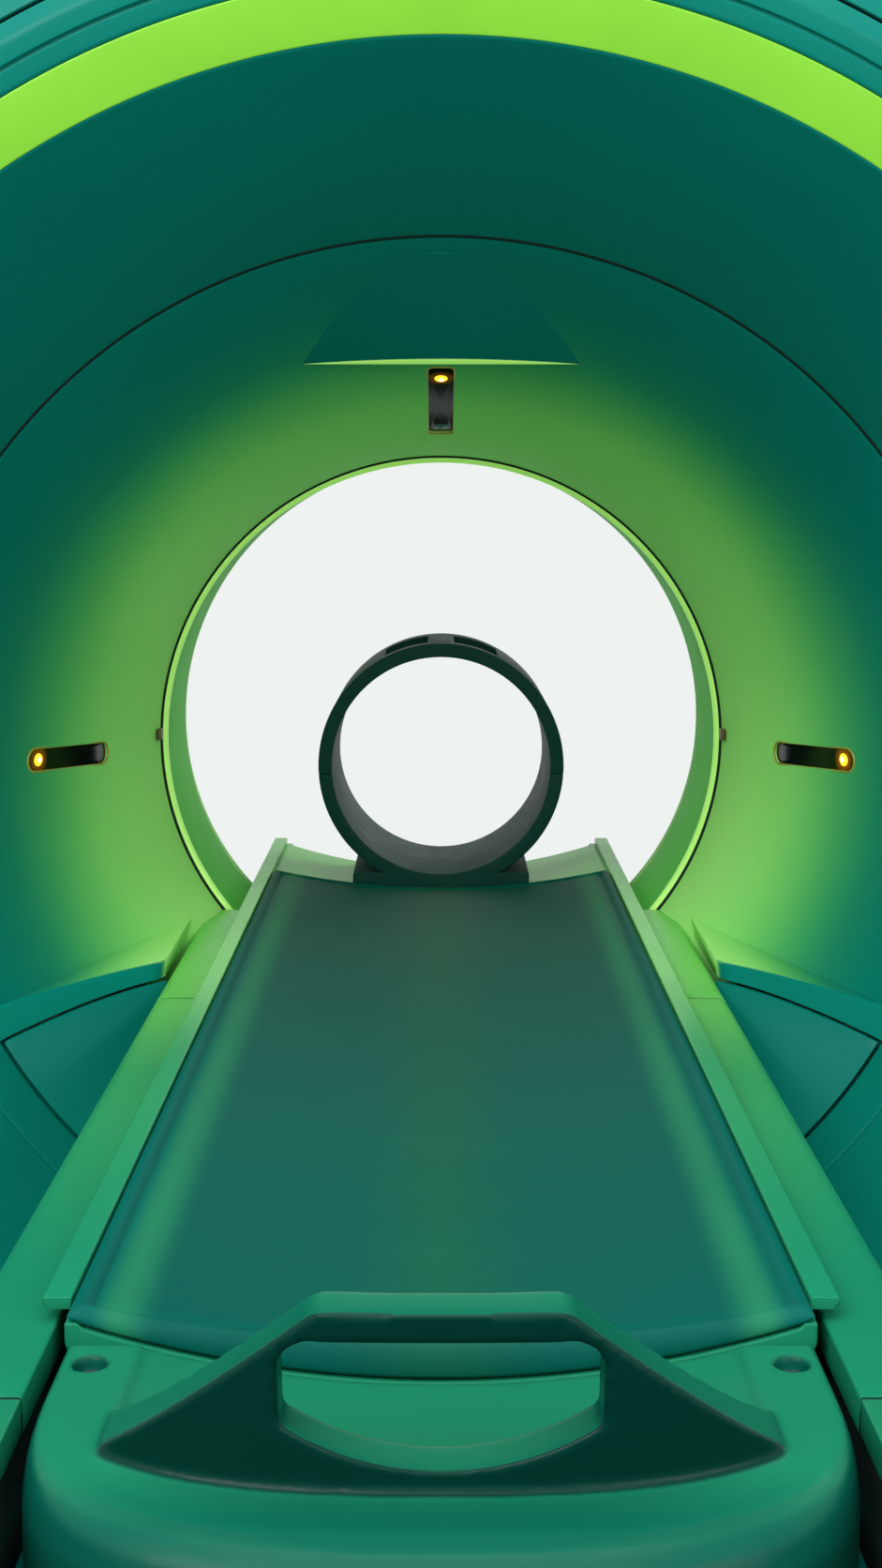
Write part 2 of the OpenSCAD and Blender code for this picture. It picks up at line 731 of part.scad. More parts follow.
// Half width and height of the case's foot
blower_foot = [40, 12];
blower_drop = barrel_r - cover_wall - air - blower_r - blower_wall - blower_foot[1];
blower_len = wheel_w + 20;
hub_r = 4;
module blower_housing() {
    r = blower_r + blower_wall;
    foot = r + blower_foot[1];
    duct = r + 14;
    color(dark) at_bore() translate([0, -blower_drop, blower_d]) {
        difference() {
            union() {
                cylinder(blower_len, r = r, $fn = small_fn);
                translate([-blower_foot[0], -foot, 0]) cube([2 * blower_foot[0], foot, blower_len]);
                cube([r, duct, blower_len]);
            }
            translate([0, 0, blower_wall]) cylinder(blower_len, r = blower_r, $fn = small_fn);
            translate([blower_wall, 0, blower_wall])
                cube([r - 2 * blower_wall, 2 * duct, blower_len - 2 * blower_wall]);
            translate([0, blower_drop, -blower_d - vessel_len])
                difference() {
                    cylinder(2 * vessel_len, r = 2 * barrel_r, $fn = round_fn);
                    translate([0, 0, -1])
                        cylinder(2 * vessel_len + 2, r = barrel_r - cover_wall - air, $fn = round_fn);
                }
        }
        difference() {
            translate([0, 0, blower_len - blower_wall]) cylinder(blower_wall, r = r, $fn = small_fn);
            translate([0, 0, blower_len - 2 * blower_wall])
                cylinder(3 * blower_wall, r = wheel_r - 8, $fn = small_fn);
        }
        cylinder(blower_len - 16, r = hub_r, $fn = small_fn);
    }
}
module blower_wheel() {
    plate = 3;
    blade_in = wheel_r - 12;
    color(steel) at_bore() translate([0, -blower_drop, blower_d + blower_wall + 4]) difference() {
        union() {
            cylinder(plate, r = wheel_r, $fn = small_fn);
            cylinder(18, r = hub_r + 6, $fn = small_fn);
            translate([0, 0, wheel_w - plate]) difference() {
                cylinder(plate, r = wheel_r, $fn = small_fn);
                translate([0, 0, -1]) cylinder(plate + 2, r = blade_in, $fn = small_fn);
            }
            for (i = [0 : blades - 1]) rotate(i * 360 / blades)
                translate([blade_in, -1, 0]) cube([wheel_r - blade_in - 1, 2, wheel_w]);
        }
        translate([0, 0, -1]) cylinder(wheel_w + 2, r = hub_r + fit, $fn = small_fn);
    }
}

// Two low runners carry the tabletop through the tunnel
runner_x = [90, 130];
module bore_runners() {
    color(trim_white) at_bore() intersection() {
        push(-tube_len, -15) for (side = [-1, 1]) flip(side)
            translate([runner_x[0], -bore_r]) square([runner_x[1] - runner_x[0], bore_r - cradle_low - air]);
        translate([0, 0, -tube_len - 1]) cylinder(tube_len, r = bore_r - air, $fn = round_fn);
    }
}

bridge_drop = cradle_low + 14;
bridge_d = 6;
// Width and depth of the step on which the rails sit
rail_seat = 10;
rail_step = rail_drop + 22;
module bridge_deck() {
    w = rail_in + rail_seat;
    color(shell_teal) at_bore() intersection() {
        push(bridge_d, dock_d - seam) polygon([[-w, -bridge_drop - deck_t], [w, -bridge_drop - deck_t],
            [w, -rail_step], [rail_in, -rail_step], [rail_in, -bridge_drop], [-rail_in, -bridge_drop],
            [-rail_in, -rail_step], [-w, -rail_step]]);
        inside_flare(air);
    }
}
rail_round = 12;
bridge_rail_h = 70;
// Section of a rail from its inner top edge to its rounded outer edge
module rail_section(low) {
    polygon(concat([[rail_in, -rail_drop]],
        arc_points([rail_out - rail_round, -rail_drop - rail_round], rail_round, 90, 0, 6),
        [[rail_out, -rail_step - rail_round], [rail_out - rail_round, -low],
         [rail_in + rail_seat + air, -low], [rail_in + rail_seat + air, -rail_step + air],
         [rail_in, -rail_step + air]]));
}
module bridge_rail(side) {
    color(rail_green) at_bore() flip(side) intersection() {
        push(bridge_d, dock_d - seam) rail_section(rail_drop + bridge_rail_h);
        inside_flare(air);
    }
}
module bridge_rail_left() bridge_rail(-1);
module bridge_rail_right() bridge_rail(1);

table_side_low = deck_drop + deck_t;
module side_rail(side) {
    color(rail_green) at_bore() flip(side) push(dock_d, foot_seam_d - seam / 2)
        rail_section(table_side_low);
}
module side_rail_left() side_rail(-1);
module side_rail_right() side_rail(1);

// The last stretch of the table has one cover round its foot
module foot_cover() {
    end_t = rail_out - rail_in;
    corner = 70;
    color(rail_green) at_bore() intersection() {
        union() {
            for (side = [-1, 1]) flip(side) push(foot_seam_d + seam / 2, table_end)
                rail_section(table_side_low);
            push(table_end - end_t, table_end) translate([-rail_in - rail_round, -table_side_low])
                square([2 * (rail_in + rail_round), table_side_low - rail_drop]);
        }
        drop(-rail_drop + 1, table_side_low - rail_drop + 2)
            polygon(rounded_plan(rail_out, foot_seam_d - 2 * corner, table_end, corner));
    }
}

bracket_x = roller_w / 2 + 1;
bracket_t = 10;
bracket_len = 40;
// Metal over a shaft, and how deep a bracket is rooted in the deck
over_shaft = 16;
root = 1;
roller_front_d = dock_d + 60;
roller_rear_d = foot_seam_d - 130;
module roller_brackets(d) {
    for (side = [-1, 1]) flip(side) difference() {
        translate([bracket_x, -deck_drop - root, d - bracket_len / 2])
            cube([bracket_t, root + deck_drop - roller_drop + over_shaft, bracket_len]);
        translate([0, -roller_drop, d]) rotate([0, 90, 0])
            cylinder(2 * roller_w, r = shaft_r + fit, $fn = small_fn);
    }
}
module pulley_brackets(d) {
    for (side = [-1, 1]) flip(side) difference() {
        translate([belt_w / 2 + 5, -deck_drop - root, d - 2 * shaft_r])
            cube([8, root + deck_drop - belt_drop + 2 * shaft_r, 4 * shaft_r]);
        translate([0, -belt_drop, d]) rotate([0, 90, 0])
            cylinder(roller_w, r = shaft_r + fit, $fn = small_fn);
    }
}
module table_deck() {
    w = rail_in + rail_seat - air;
    in = w - 6;
    color(steel) at_bore() union() {
        push(dock_d, table_end - rail_out + rail_in - air)
            polygon([[-w, -table_side_low], [w, -table_side_low], [w, -rail_step], [in, -rail_step],
                     [in, -deck_drop], [-in, -deck_drop], [-in, -rail_step], [-w, -rail_step]]);
        roller_brackets(roller_front_d);
        roller_brackets(roller_rear_d);
        pulley_brackets(belt_front);
    }
}
// Thin plate over the drive, with a slot for the clamp and windows for the rollers
module deck_cover() {
    w = rail_in - 3;
    top = cradle_low + 5;
    slot = belt_w / 2 + 4;
    leg = [w - 6, 6];
    color(shell_teal) at_bore() difference() {
        push(dock_d + 1, table_end - rail_out + rail_in - seam) union() {
            translate([-w, -top - 3]) square([2 * w, 3]);
            for (side = [-1, 1]) flip(side) translate([leg[0], -deck_drop + air])
                square([leg[1], deck_drop - top - air]);
        }
        slab(slot, belt_front - pulley_r - 10, belt_back + pulley_r + 10, -top - 10, -top + 10);
        for (d = [roller_front_d, roller_rear_d])
            slab(bracket_x + bracket_t + 3, d - roller_r - 4, d + roller_r + 4, -top - 10, -top + 10);
    }
}
// Two drums on one shaft leave the middle free for the belt clamp
roller_gap = 20;
module roller(d) {
    color("#e8ece8") at_bore() translate([0, -roller_drop, d]) rotate([0, 90, 0]) {
        for (x = [-roller_w / 2, roller_gap])
            translate([0, 0, x]) cylinder(roller_w / 2 - roller_gap, r = roller_r, $fn = small_fn);
        translate([0, 0, -bracket_x - bracket_t])
            cylinder(2 * (bracket_x + bracket_t), r = shaft_r, $fn = small_fn);
    }
}
module roller_front() roller(roller_front_d);
module roller_rear() roller(roller_rear_d);

module slab(x, d0, d1, z0, z1) {
    translate([-x, z0, d0]) cube([2 * x, z1 - z0, d1 - d0]);
}
base_t = 30;
// Plate on the floor with two cross bars that carry the lift
module table_base() {
    in = cover_wall + air;
    w = pedestal_w - in;
    bar_d = pedestal_round + base_t;
    color(dark) at_bore() {
        drop(-axis_h + base_t, base_t) polygon(rounded_plan(w, pedestal_d + in,
            pedestal_d + pedestal_len - in, pedestal_round - in));
        for (d = [pedestal_d + bar_d, pedestal_d + pedestal_len - bar_d])
            slab(w - 20, d - base_t, d + base_t, -axis_h + base_t, -axis_h + 2 * base_t);
    }
}
// Hollow sleeve with rounded corners, set in from the pedestal's outline
pedestal_round = 80;
module sleeve(in, z0, z1) {
    difference() {
        drop(z1, z1 - z0) polygon(rounded_plan(pedestal_w - in, pedestal_d + in,
            pedestal_d + pedestal_len - in, pedestal_round - in));
        drop(z1 + 1, z1 - z0 + 2) polygon(rounded_plan(pedestal_w - in - cover_wall,
            pedestal_d + in + cover_wall, pedestal_d + pedestal_len - in - cover_wall,
            pedestal_round - in - cover_wall));
    }
}
module pedestal_lower_cover() {
    color(shell_teal) at_bore() sleeve(0, -axis_h + 6, -axis_h + pedestal_h);
}
module pedestal_upper_cover() {
    color(rail_green) at_bore() sleeve(cover_wall + air, -axis_h + pedestal_h - 90, -table_side_low - air);
}
// Crossed arms between the base and the deck
arm_reach = 300;
arm_x = 120;
arm = [16, 40];
plate_t = 30;
plate_reach = 55;
module lift_scissor() {
    low = -axis_h + 2 * base_t;
    high = -table_side_low;
    mid = pedestal_d + pedestal_len / 2;
    rise = high - low - 50;
    len = sqrt(pow(2 * arm_reach, 2) + pow(rise, 2));
    tilt = atan(rise / (2 * arm_reach));
    reach = arm_reach + 60;
    color(steel) at_bore() {
        for (side = [-1, 1]) flip(side) translate([arm_x, (low + high) / 2, mid]) {
            for (i = [0, 1]) translate([i * (arm[0] + 4), 0, 0]) rotate([(2 * i - 1) * tilt, 0, 0])
                translate([0, -arm[1] / 2, -len / 2]) cube([arm[0], arm[1], len]);
            translate([-10, 0, 0]) rotate([0, 90, 0]) cylinder(2 * arm[0] + 24, r = 16, $fn = small_fn);
        }
        slab(arm_x + plate_reach, mid - reach, mid + reach, high - plate_t, high - air);
        slab(arm_x + plate_reach, mid - reach, mid + reach, low + air, low + plate_t);
    }
}
actuator_h = 260;
actuator_motor = [30, 150];
gearbox = [50, 90, 40];
module lift_actuator() {
    low = -axis_h + 2 * base_t + plate_t;
    high = -table_side_low - plate_t;
    mid = pedestal_d + pedestal_len / 2;
    color("#55606a") at_bore() translate([0, low + air, mid]) rotate([-90, 0, 0]) {
        cylinder(actuator_h, r = 34, $fn = small_fn);
        cylinder(high - low - 2 * air, r = 20, $fn = small_fn);
        translate([0, -70, 0]) cylinder(actuator_motor[1], r = actuator_motor[0], $fn = small_fn);
        translate([-gearbox[0] / 2, -80, gearbox[2] / 2]) cube(gearbox);
    }
}

// Belt drive on the deck
motor_r = 20;
module drive_motor() {
    x = belt_w / 2 + 14;
    len = 110;
    foot = [14, deck_drop - belt_drop + over_shaft, 4 * motor_r - 32];
    color(dark) at_bore() difference() {
        union() {
            translate([x, -belt_drop, belt_back]) rotate([0, 90, 0])
                cylinder(len, r = motor_r, $fn = small_fn);
            for (side = [-1, 1]) flip(side)
                translate([x, -deck_drop + air, belt_back - foot[2] / 2]) cube(foot);
        }
        translate([-x - 20, -belt_drop, belt_back]) rotate([0, 90, 0])
            cylinder(2 * x + 60, r = shaft_r + fit, $fn = small_fn);
    }
}
module pulley(d) {
    r = pulley_r - belt_t - air;
    color(steel) at_bore() translate([0, -belt_drop, d]) rotate([0, 90, 0]) {
        translate([0, 0, -belt_w / 2 - 1]) cylinder(belt_w + 2, r = r, $fn = small_fn);
        for (s = [-1, 1]) translate([0, 0, s * (belt_w / 2 + 2) - 1])
            cylinder(2, r = pulley_r + 1, $fn = small_fn);
        translate([0, 0, -belt_w / 2 - 13]) cylinder(belt_w + 26, r = shaft_r, $fn = small_fn);
    }
}
module drive_pulley() pulley(belt_back);
module idler_pulley() pulley(belt_front);
module belt_outline(r) {
    hull() for (d = [belt_front, belt_back]) translate([d, -belt_drop]) circle(r, $fn = small_fn);
}
module drive_belt() {
    color(black) at_bore() across(belt_w) difference() {
        belt_outline(pulley_r);
        belt_outline(pulley_r - belt_t);
    }
}

// Height of the cradle's hollow at a place across it
function cradle_at(x) = -cradle_drop - hollow * (1 - pow(x / cradle_w, 2));
belly_w = 150;
cradle_side = 20;
module tabletop() {
    curve = [for (x = spread(cradle_w - 8, -cradle_w + 8, 16)) [x, cradle_at(x)]];
    color(rail_green) at_bore() {
        push(head_d, cap_d) polygon(concat(
            [[-cradle_w, -cradle_drop], [-cradle_w, -cradle_drop - cradle_side], [-belly_w, -cradle_low],
             [belly_w, -cradle_low], [cradle_w, -cradle_drop - cradle_side], [cradle_w, -cradle_drop]],
            curve));
    }
}
strip_in = 229;
strip_end_d = cap_d - 21;
module edge_strips() {
    color("#86c9a0") at_bore() for (side = [-1, 1]) flip(side) {
        push(head_d, strip_end_d) polygon([[strip_in, -cradle_drop], [strip_w - 3, -cradle_drop],
            [strip_w - 3, -cradle_drop + 3], [strip_w, -cradle_drop + 3],
            [strip_w, -cradle_drop + strip_t], [strip_in, -cradle_drop + strip_t]]);
    }
}
coil_front_d = head_d + coil_back + coil_len;
mattress_d = coil_front_d + 12;
module mattress() {
    w = strip_in - 1;
    low = [for (x = spread(-w, w, 18)) [x, max(cradle_at(x), -cradle_drop - hollow) + air]];
    high = [for (x = spread(w, -w, 18))
        [x, cradle_at(x) + air + mattress_edge + (mattress_t - mattress_edge) * (1 - pow(x / w, 2))]];
    color(pad_teal) at_bore() push(mattress_d, cap_d) polygon(concat(low, high));
}

// Moulded foot end: a plate with a rounded front and a high pull handle
cap_power = 2.6;
cap_back = 60;
// Layers of the rim's round edge: depth below the top, and how far front and sides draw in
cap_layers = [[0, 30, 4], [4, 17, 2], [12, 7, 1], [25, 1, 0], [34, 0, 0]];
handle_lean = 0.19;
handle_bar = 18;
handle_root = 12;
// Half width of the slot in the handle, its lowest point and the rise of its lower edge
slot_w = 83;
slot_drop = 206;
slot_sag = 25;
// Half width of the recess that carries on the cradle's hollow
recess_w = 182;
// Joint between the cap and the tabletop
cap_gap = 0.5;
hole_r = 10;
hole_place = [21, 29];
clamp_d = cap_d + 129;
clamp_len = 50;
// Front of the cap at a place across it
function cap_front(x, w) =
    top_front - cap_nose * (1 - pow(1 - pow(min(abs(x) / w, 1), cap_power), 1 / cap_power));
// Plan of the cap, drawn in at its sides
module cap_plan(in = 0) {
    w = cradle_w - in;
    polygon(concat([[-w, cap_d - cap_back], [w, cap_d - cap_back]],
        [for (t = spread(90, -90, 36)) [w * sin(t), cap_front(w * sin(t), w)]]));
}
module cap_body() {
    hull() {
        for (layer = cap_layers) drop(-cap_drop - layer[0], air)
            translate([0, -layer[1]]) cap_plan(layer[2]);
        drop(-cradle_low + air, air) cap_plan();
    }
}
// The handle's foot follows the rim, a rim's width behind it
module rim_plan() translate([0, -rim_w]) cap_plan();
module leaning() {
    multmatrix([[1, 0, 0, 0], [0, 1, 0, 0], [0, handle_lean, 1, handle_lean * cap_drop]]) children();
}
module handle_outline() {
    top_r = 14;
    foot_r = 8;
    hull() for (x = [-1, 1]) {
        translate([x * (handle_w[1] - top_r), -handle_top - top_r]) circle(top_r, $fn = small_fn);
        translate([x * (handle_w[0] - foot_r), -cap_drop]) circle(foot_r, $fn = small_fn);
        translate([x * (handle_w[0] - foot_r), -cap_drop - handle_root]) circle(foot_r, $fn = small_fn);
    }
}
module handle() {
    leaning() intersection() {
        push(cap_d, top_front) handle_outline();
        drop(-handle_top + 1, cap_drop + handle_root - handle_top) difference() {
            rim_plan();
            offset(delta = -handle_t) rim_plan();
        }
    }
}
// The slot has a straight top and a lower edge that sags
module slot_outline() {
    r = 16;
    sag_r = (pow(slot_w, 2) + pow(slot_sag, 2)) / (2 * slot_sag);
    half = asin(slot_w / sag_r);
    hull() {
        for (x = [-1, 1]) translate([x * (slot_w - r), -handle_top - handle_bar - r])
            circle(r, $fn = small_fn);
        polygon(arc_points([0, sag_r - slot_drop], sag_r, -90 - half, -90 + half, 12));
    }
}
module cap_recess() {
    intersection() {
        push(cap_d - cap_back, top_front) polygon(concat([[-recess_w, 0]],
            [for (x = spread(-recess_w, recess_w, 12)) [x, cradle_at(x)]], [[recess_w, 0]]));
        drop(0, cradle_low) translate([0, -handle_t / 2]) rim_plan();
    }
}
module end_cap() {
    color(rail_green) at_bore() difference() {
        union() {
            difference() {
                cap_body();
                cap_recess();
            }
            handle();
            // Clamp that grips the upper run of the belt
            push(clamp_d, clamp_d + clamp_len) translate([-belt_w / 2, -cradle_low - belt_space + air])
                square([belt_w, belt_space]);
        }
        leaning() push(cap_d, top_front) slot_outline();
        for (side = [-1, 1])
            translate([side * (cradle_w - hole_place[0]), -cap_drop - 12, cap_d + hole_place[1]])
                rotate([-90, 0, 0]) cylinder(40, r = hole_r, $fn = small_fn);
        slab(2 * cradle_w, cap_d - 2 * cap_back, cap_d + cap_gap, -2 * cradle_low, 0);
    }
}

// Head coil in two halves round the head
coil_split = -coil_drop - 10;
coil_foot_w = 120;
module coil_ring() {
    difference() {
        circle(coil_r, $fn = round_fn);
        circle(coil_r - coil_wall, $fn = round_fn);
    }
}
module head_coil_base() {
    color("#3c4a4c") at_bore() push(head_d + coil_back, coil_front_d) difference() {
        union() {
            translate([0, -coil_drop]) coil_ring();
            translate([-coil_foot_w, -cradle_drop - hollow]) square([2 * coil_foot_w, 40]);
        }
        translate([0, -coil_drop]) circle(coil_r - coil_wall, $fn = round_fn);
        translate([-coil_r - 1, coil_split - 0.15]) square([2 * coil_r + 2, 2 * coil_r]);
        polygon(concat([for (x = spread(-cradle_w, cradle_w, 16)) [x, cradle_at(x) + air]],
            [[cradle_w, -cradle_low], [-cradle_w, -cradle_low]]));
    }
}
module head_coil_top() {
    window_len = coil_len - 90;
    color("#2a3638") at_bore() difference() {
        push(head_d + coil_back, coil_front_d) difference() {
            translate([0, -coil_drop]) coil_ring();
            translate([-coil_r - 1, coil_split - 2 * coil_r + 0.15]) square([2 * coil_r + 2, 2 * coil_r]);
        }
        // Sight windows between the bars
        for (x = [-1, 1]) translate([x * 48 - 30, 0, coil_front_d - 40 - window_len])
            cube([60, coil_r, window_len]);
    }
}

front_funnel();
front_dish();
light_band();
front_bezel();
front_cover();
bore_tube();
bore_trim_ring();
bore_seal();
ring_clips();
laser_window_top();
laser_window_left();
laser_window_right();
laser_lenses();
laser_modules();
wing_left();
wing_right();
lower_panel_left();
lower_panel_right();
top_cover();
side_cover_left();
side_cover_right();
rear_cover();
rear_funnel();
base_skirt();
magnet_vessel();
magnet_feet();
gradient_coil();
body_coil();
cold_head();
service_turret();
quench_flange();
led_board();
blower_housing();
blower_wheel();
bore_runners();
bridge_deck();
bridge_rail_left();
bridge_rail_right();
table_deck();
deck_cover();
side_rail_left();
side_rail_right();
foot_cover();
pedestal_lower_cover();
pedestal_upper_cover();
table_base();
lift_scissor();
lift_actuator();
drive_motor();
drive_pulley();
idler_pulley();
drive_belt();
roller_front();
roller_rear();
tabletop();
edge_strips();
mattress();
end_cap();
head_coil_base();
head_coil_top();
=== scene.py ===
# %% [markdown]
# # A short wide-bore scanner and its table
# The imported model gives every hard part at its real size. This script dresses it: covers turned round the
# bore, a padded mattress, a soft moulded handle, dark light windows, finishes, light and a camera.

# %% Load the frame
import json
import math

import bmesh
import bpy
import numpy as np
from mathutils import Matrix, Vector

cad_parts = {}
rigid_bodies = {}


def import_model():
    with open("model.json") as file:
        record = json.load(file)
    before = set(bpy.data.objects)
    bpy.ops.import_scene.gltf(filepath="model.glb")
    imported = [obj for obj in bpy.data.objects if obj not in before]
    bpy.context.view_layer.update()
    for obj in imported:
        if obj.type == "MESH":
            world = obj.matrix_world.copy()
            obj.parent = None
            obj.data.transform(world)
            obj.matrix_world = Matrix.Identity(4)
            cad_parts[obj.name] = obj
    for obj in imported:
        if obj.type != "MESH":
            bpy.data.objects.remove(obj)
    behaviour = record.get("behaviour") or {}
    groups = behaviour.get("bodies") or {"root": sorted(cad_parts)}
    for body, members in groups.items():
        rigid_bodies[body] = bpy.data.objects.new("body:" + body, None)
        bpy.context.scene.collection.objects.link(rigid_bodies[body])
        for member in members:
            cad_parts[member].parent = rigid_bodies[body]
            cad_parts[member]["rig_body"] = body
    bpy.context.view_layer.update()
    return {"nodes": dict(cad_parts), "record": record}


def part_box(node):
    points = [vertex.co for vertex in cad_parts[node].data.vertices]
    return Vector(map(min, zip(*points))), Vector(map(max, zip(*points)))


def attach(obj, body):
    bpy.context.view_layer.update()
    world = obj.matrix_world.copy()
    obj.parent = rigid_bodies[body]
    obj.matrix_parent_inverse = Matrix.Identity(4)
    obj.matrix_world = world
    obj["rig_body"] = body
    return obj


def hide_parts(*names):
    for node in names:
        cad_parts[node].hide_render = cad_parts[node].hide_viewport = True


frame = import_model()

SLOT_OF = {part["node"]: part["material_slot"] for part in frame["record"]["subparts"]}

# %% [markdown]
# ## Measures
# Everything round on the gantry shares one axis, so two places fix it all: the height of the axis, and the
# place of the tunnel's mouth. Both are read from the frame. A distance d is counted from the mouth to the
# front.

# %% Measures of the bore and the front
MM = 0.001
WALL, SEAM, AIR = 8 * MM, 3 * MM, 0.3 * MM
QUARTER_TURN = math.pi / 2
SEAL_LIP = 0.2 * MM
tube_low, tube_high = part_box("bore_tube")
AXIS_Z = (tube_low[2] + tube_high[2]) / 2
MOUTH_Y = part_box("bore_seal")[0][1] + SEAL_LIP
BORE_R = tube_high[0] - WALL
TUBE_END = MOUTH_Y - tube_high[1]
SEAM_D = MOUTH_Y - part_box("front_funnel")[0][1]
SEAM_R, FLARE_POWER = 539 * MM, 1.5
BAND_D = MOUTH_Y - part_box("light_band")[0][1]
BAND_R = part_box("light_band")[1][0] + AIR
BAND_LEAN = 16 * MM
DISH_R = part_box("front_dish")[1][0] - WALL
DISH_D = BAND_D - BAND_LEAN
BEZEL_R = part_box("front_bezel")[1][0]
BARREL_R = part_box("front_cover")[1][0]
REAR_D = MOUTH_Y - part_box("rear_cover")[1][1]
print(f"axis {AXIS_Z:.3f} m high, mouth at y {MOUTH_Y:.3f}, bore radius {BORE_R:.3f}, tube to {TUBE_END:.3f}")


def flare_radius(d):
    """Radius of the flare: the bore's, plus the growth to the seam ring times (d / seam distance) ^ 1.5."""
    return BORE_R + (SEAM_R - BORE_R) * (np.maximum(d, 0) / SEAM_D) ** FLARE_POWER


def flare_distance(radius, least):
    """Distance at which the flare has a radius: its formula turned round, and never less than least."""
    share = np.maximum(radius + AIR - BORE_R, 0) / (SEAM_R - BORE_R)
    return np.maximum(SEAM_D * share ** (1 / FLARE_POWER), least)


def points_at(x, d, z):
    """Points x across, d in front of the mouth and z above the bore axis."""
    return np.stack(np.broadcast_arrays(x, MOUTH_Y - d, AXIS_Z + z), axis=-1)


def pairs(first, second):
    """Rows of two numbers from two arrays, such as (radius, distance)."""
    return np.stack([first, second], axis=-1)


def around_bore(r, angle, d):
    """Points at radius r, at an angle from straight up, and d in front of the mouth."""
    return points_at(r * np.sin(angle), d, r * np.cos(angle))


# %% [markdown]
# ## Colour and nodes
# A colour is written as the hex value that a screen shows. Shaders count light linearly, so one function
# turns it. One more function adds any node with its settings and links, which keeps every recipe short.

# %% Colour and node helpers
def linear(hex_value):
    """Linear colour of an sRGB hex value: v / 12.92 below 0.04045, else ((v + 0.055) / 1.055) ^ 2.4."""
    v = np.array([int(hex_value[i:i + 2], 16) for i in (1, 3, 5)]) / 255
    return (*np.where(v <= 0.04045, v / 12.92, ((v + 0.055) / 1.055) ** 2.4), 1.0)


def add(tree, kind, inputs=None, **settings):
    """Adds a node. inputs maps a socket's name or number to a value or to the output that feeds it."""
    node = tree.nodes.new(kind)
    for key, value in settings.items():
        setattr(node, key, value)
    for key, value in (inputs or {}).items():
        if isinstance(value, bpy.types.NodeSocket):
            tree.links.new(value, node.inputs[key])
        else:
            node.inputs[key].default_value = value
    return node


def new_finish(name, **fixed):
    """A material and its node tree, with the shader's fixed values set."""
    material = bpy.data.materials.new(name)
    material.use_nodes = True
    tree = material.node_tree
    add(tree, "ShaderNodeTexCoord")
    for key, value in fixed.items():
        socket = key.replace("_", " ").title().replace("Ior", "IOR")
        tree.nodes["Principled BSDF"].inputs[socket].default_value = value
    return material, tree


def feed(tree, socket, output):
    """Links an output to a socket of the shader."""
    tree.links.new(output, tree.nodes["Principled BSDF"].inputs[socket])


def coords(tree, kind="Object"):
    """The piece's own coordinates, or its Normal."""
    return tree.nodes["Texture Coordinate"].outputs[kind]


def parts(tree, kind="Object"):
    """X, Y and Z of the piece's own coordinates, or of its Normal."""
    return add(tree, "ShaderNodeSeparateXYZ", {0: coords(tree, kind)}).outputs


def speckle(tree, size, detail=2.0):
    """Noise whose lumps are size metres apart, from 0 to 1."""
    inputs = {"Vector": coords(tree), "Scale": 1 / size, "Detail": detail}
    return add(tree, "ShaderNodeTexNoise", inputs).outputs[0]


def remap(tree, value, low, high, first=0.0, last=1.0, kind="LINEAR"):
    """Turns a value from low to high into one from first to last, and holds it there beyond."""
    inputs = {0: value, 1: low, 2: high, 3: first, 4: last}
    return add(tree, "ShaderNodeMapRange", inputs, interpolation_type=kind).outputs[0]


def combine(tree, operation, first, second):
    """Joins two values by an operation such as ADD or MULTIPLY."""
    return add(tree, "ShaderNodeMath", {0: first, 1: second}, operation=operation).outputs[0]


def length_of(tree, vector):
    """Length of a vector: the root of (x^2 + y^2 + z^2)."""
    return add(tree, "ShaderNodeVectorMath", {0: vector}, operation="LENGTH").outputs["Value"]


def blend_colours(tree, share, first, second):
    """Colour that goes from the first to the second as the share goes from 0 to 1."""
    return add(tree, "ShaderNodeMix", {0: share, 6: first, 7: second}, data_type="RGBA").outputs[2]


def colour_ramp(tree, share, stops, interpolation="EASE"):
    """Colour over a share from 0 to 1, with smooth steps between the (place, colour) stops."""
    ramp = add(tree, "ShaderNodeValToRGB", {0: share})
    elements = ramp.color_ramp.elements
    ramp.color_ramp.interpolation = interpolation
    for i, (place, colour) in enumerate(stops):
        stop = elements[i] if i < 2 else elements.new(place)
        stop.position, stop.color = place, linear(colour)
    return ramp.outputs[0]


def bumps(tree, heights):
    """Feeds the shader's normal from (height output, strength, depth in metres) rows, one over the other."""
    normal = None
    for height, strength, depth in heights:
        inputs = {"Height": height, "Strength": strength, "Distance": depth}
        if normal:
            inputs["Normal"] = normal
        normal = add(tree, "ShaderNodeBump", inputs).outputs[0]
    feed(tree, "Normal", normal)


def uneven_gloss(tree, size, low, high):
    """Feeds the shader a roughness that goes from low to high in patches of size metres."""
    feed(tree, "Roughness", remap(tree, speckle(tree, size), 0, 1, low, high))


# %% [markdown]
# ## Moulded covers
# The covers are glass fibre and ABS, painted with a satin two-pack paint. Such paint is never quite flat:
# it has a faint orange peel some 6 mm across, and a colour that drifts a little over an arm's length.

# %% Satin cover paint
SATIN = {"ior": 1.48, "specular_ior_level": 0.1, "coat_weight": 0.02, "coat_roughness": 0.15}
PEEL = 6 * MM


def orange_peel(tree):
    """The paint's fine waves, as a low bump."""
    bumps(tree, [(speckle(tree, PEEL, 1.0), 0.12, 0.4 * MM)])


def uneven_satin(tree, colour, roughness):
    """Joins up a satin paint: its colour, a gloss that varies a little over 90 mm, and the peel."""
    feed(tree, "Base Color", colour)
    uneven_gloss(tree, 0.09, roughness - 0.05, roughness + 0.06)
    orange_peel(tree)


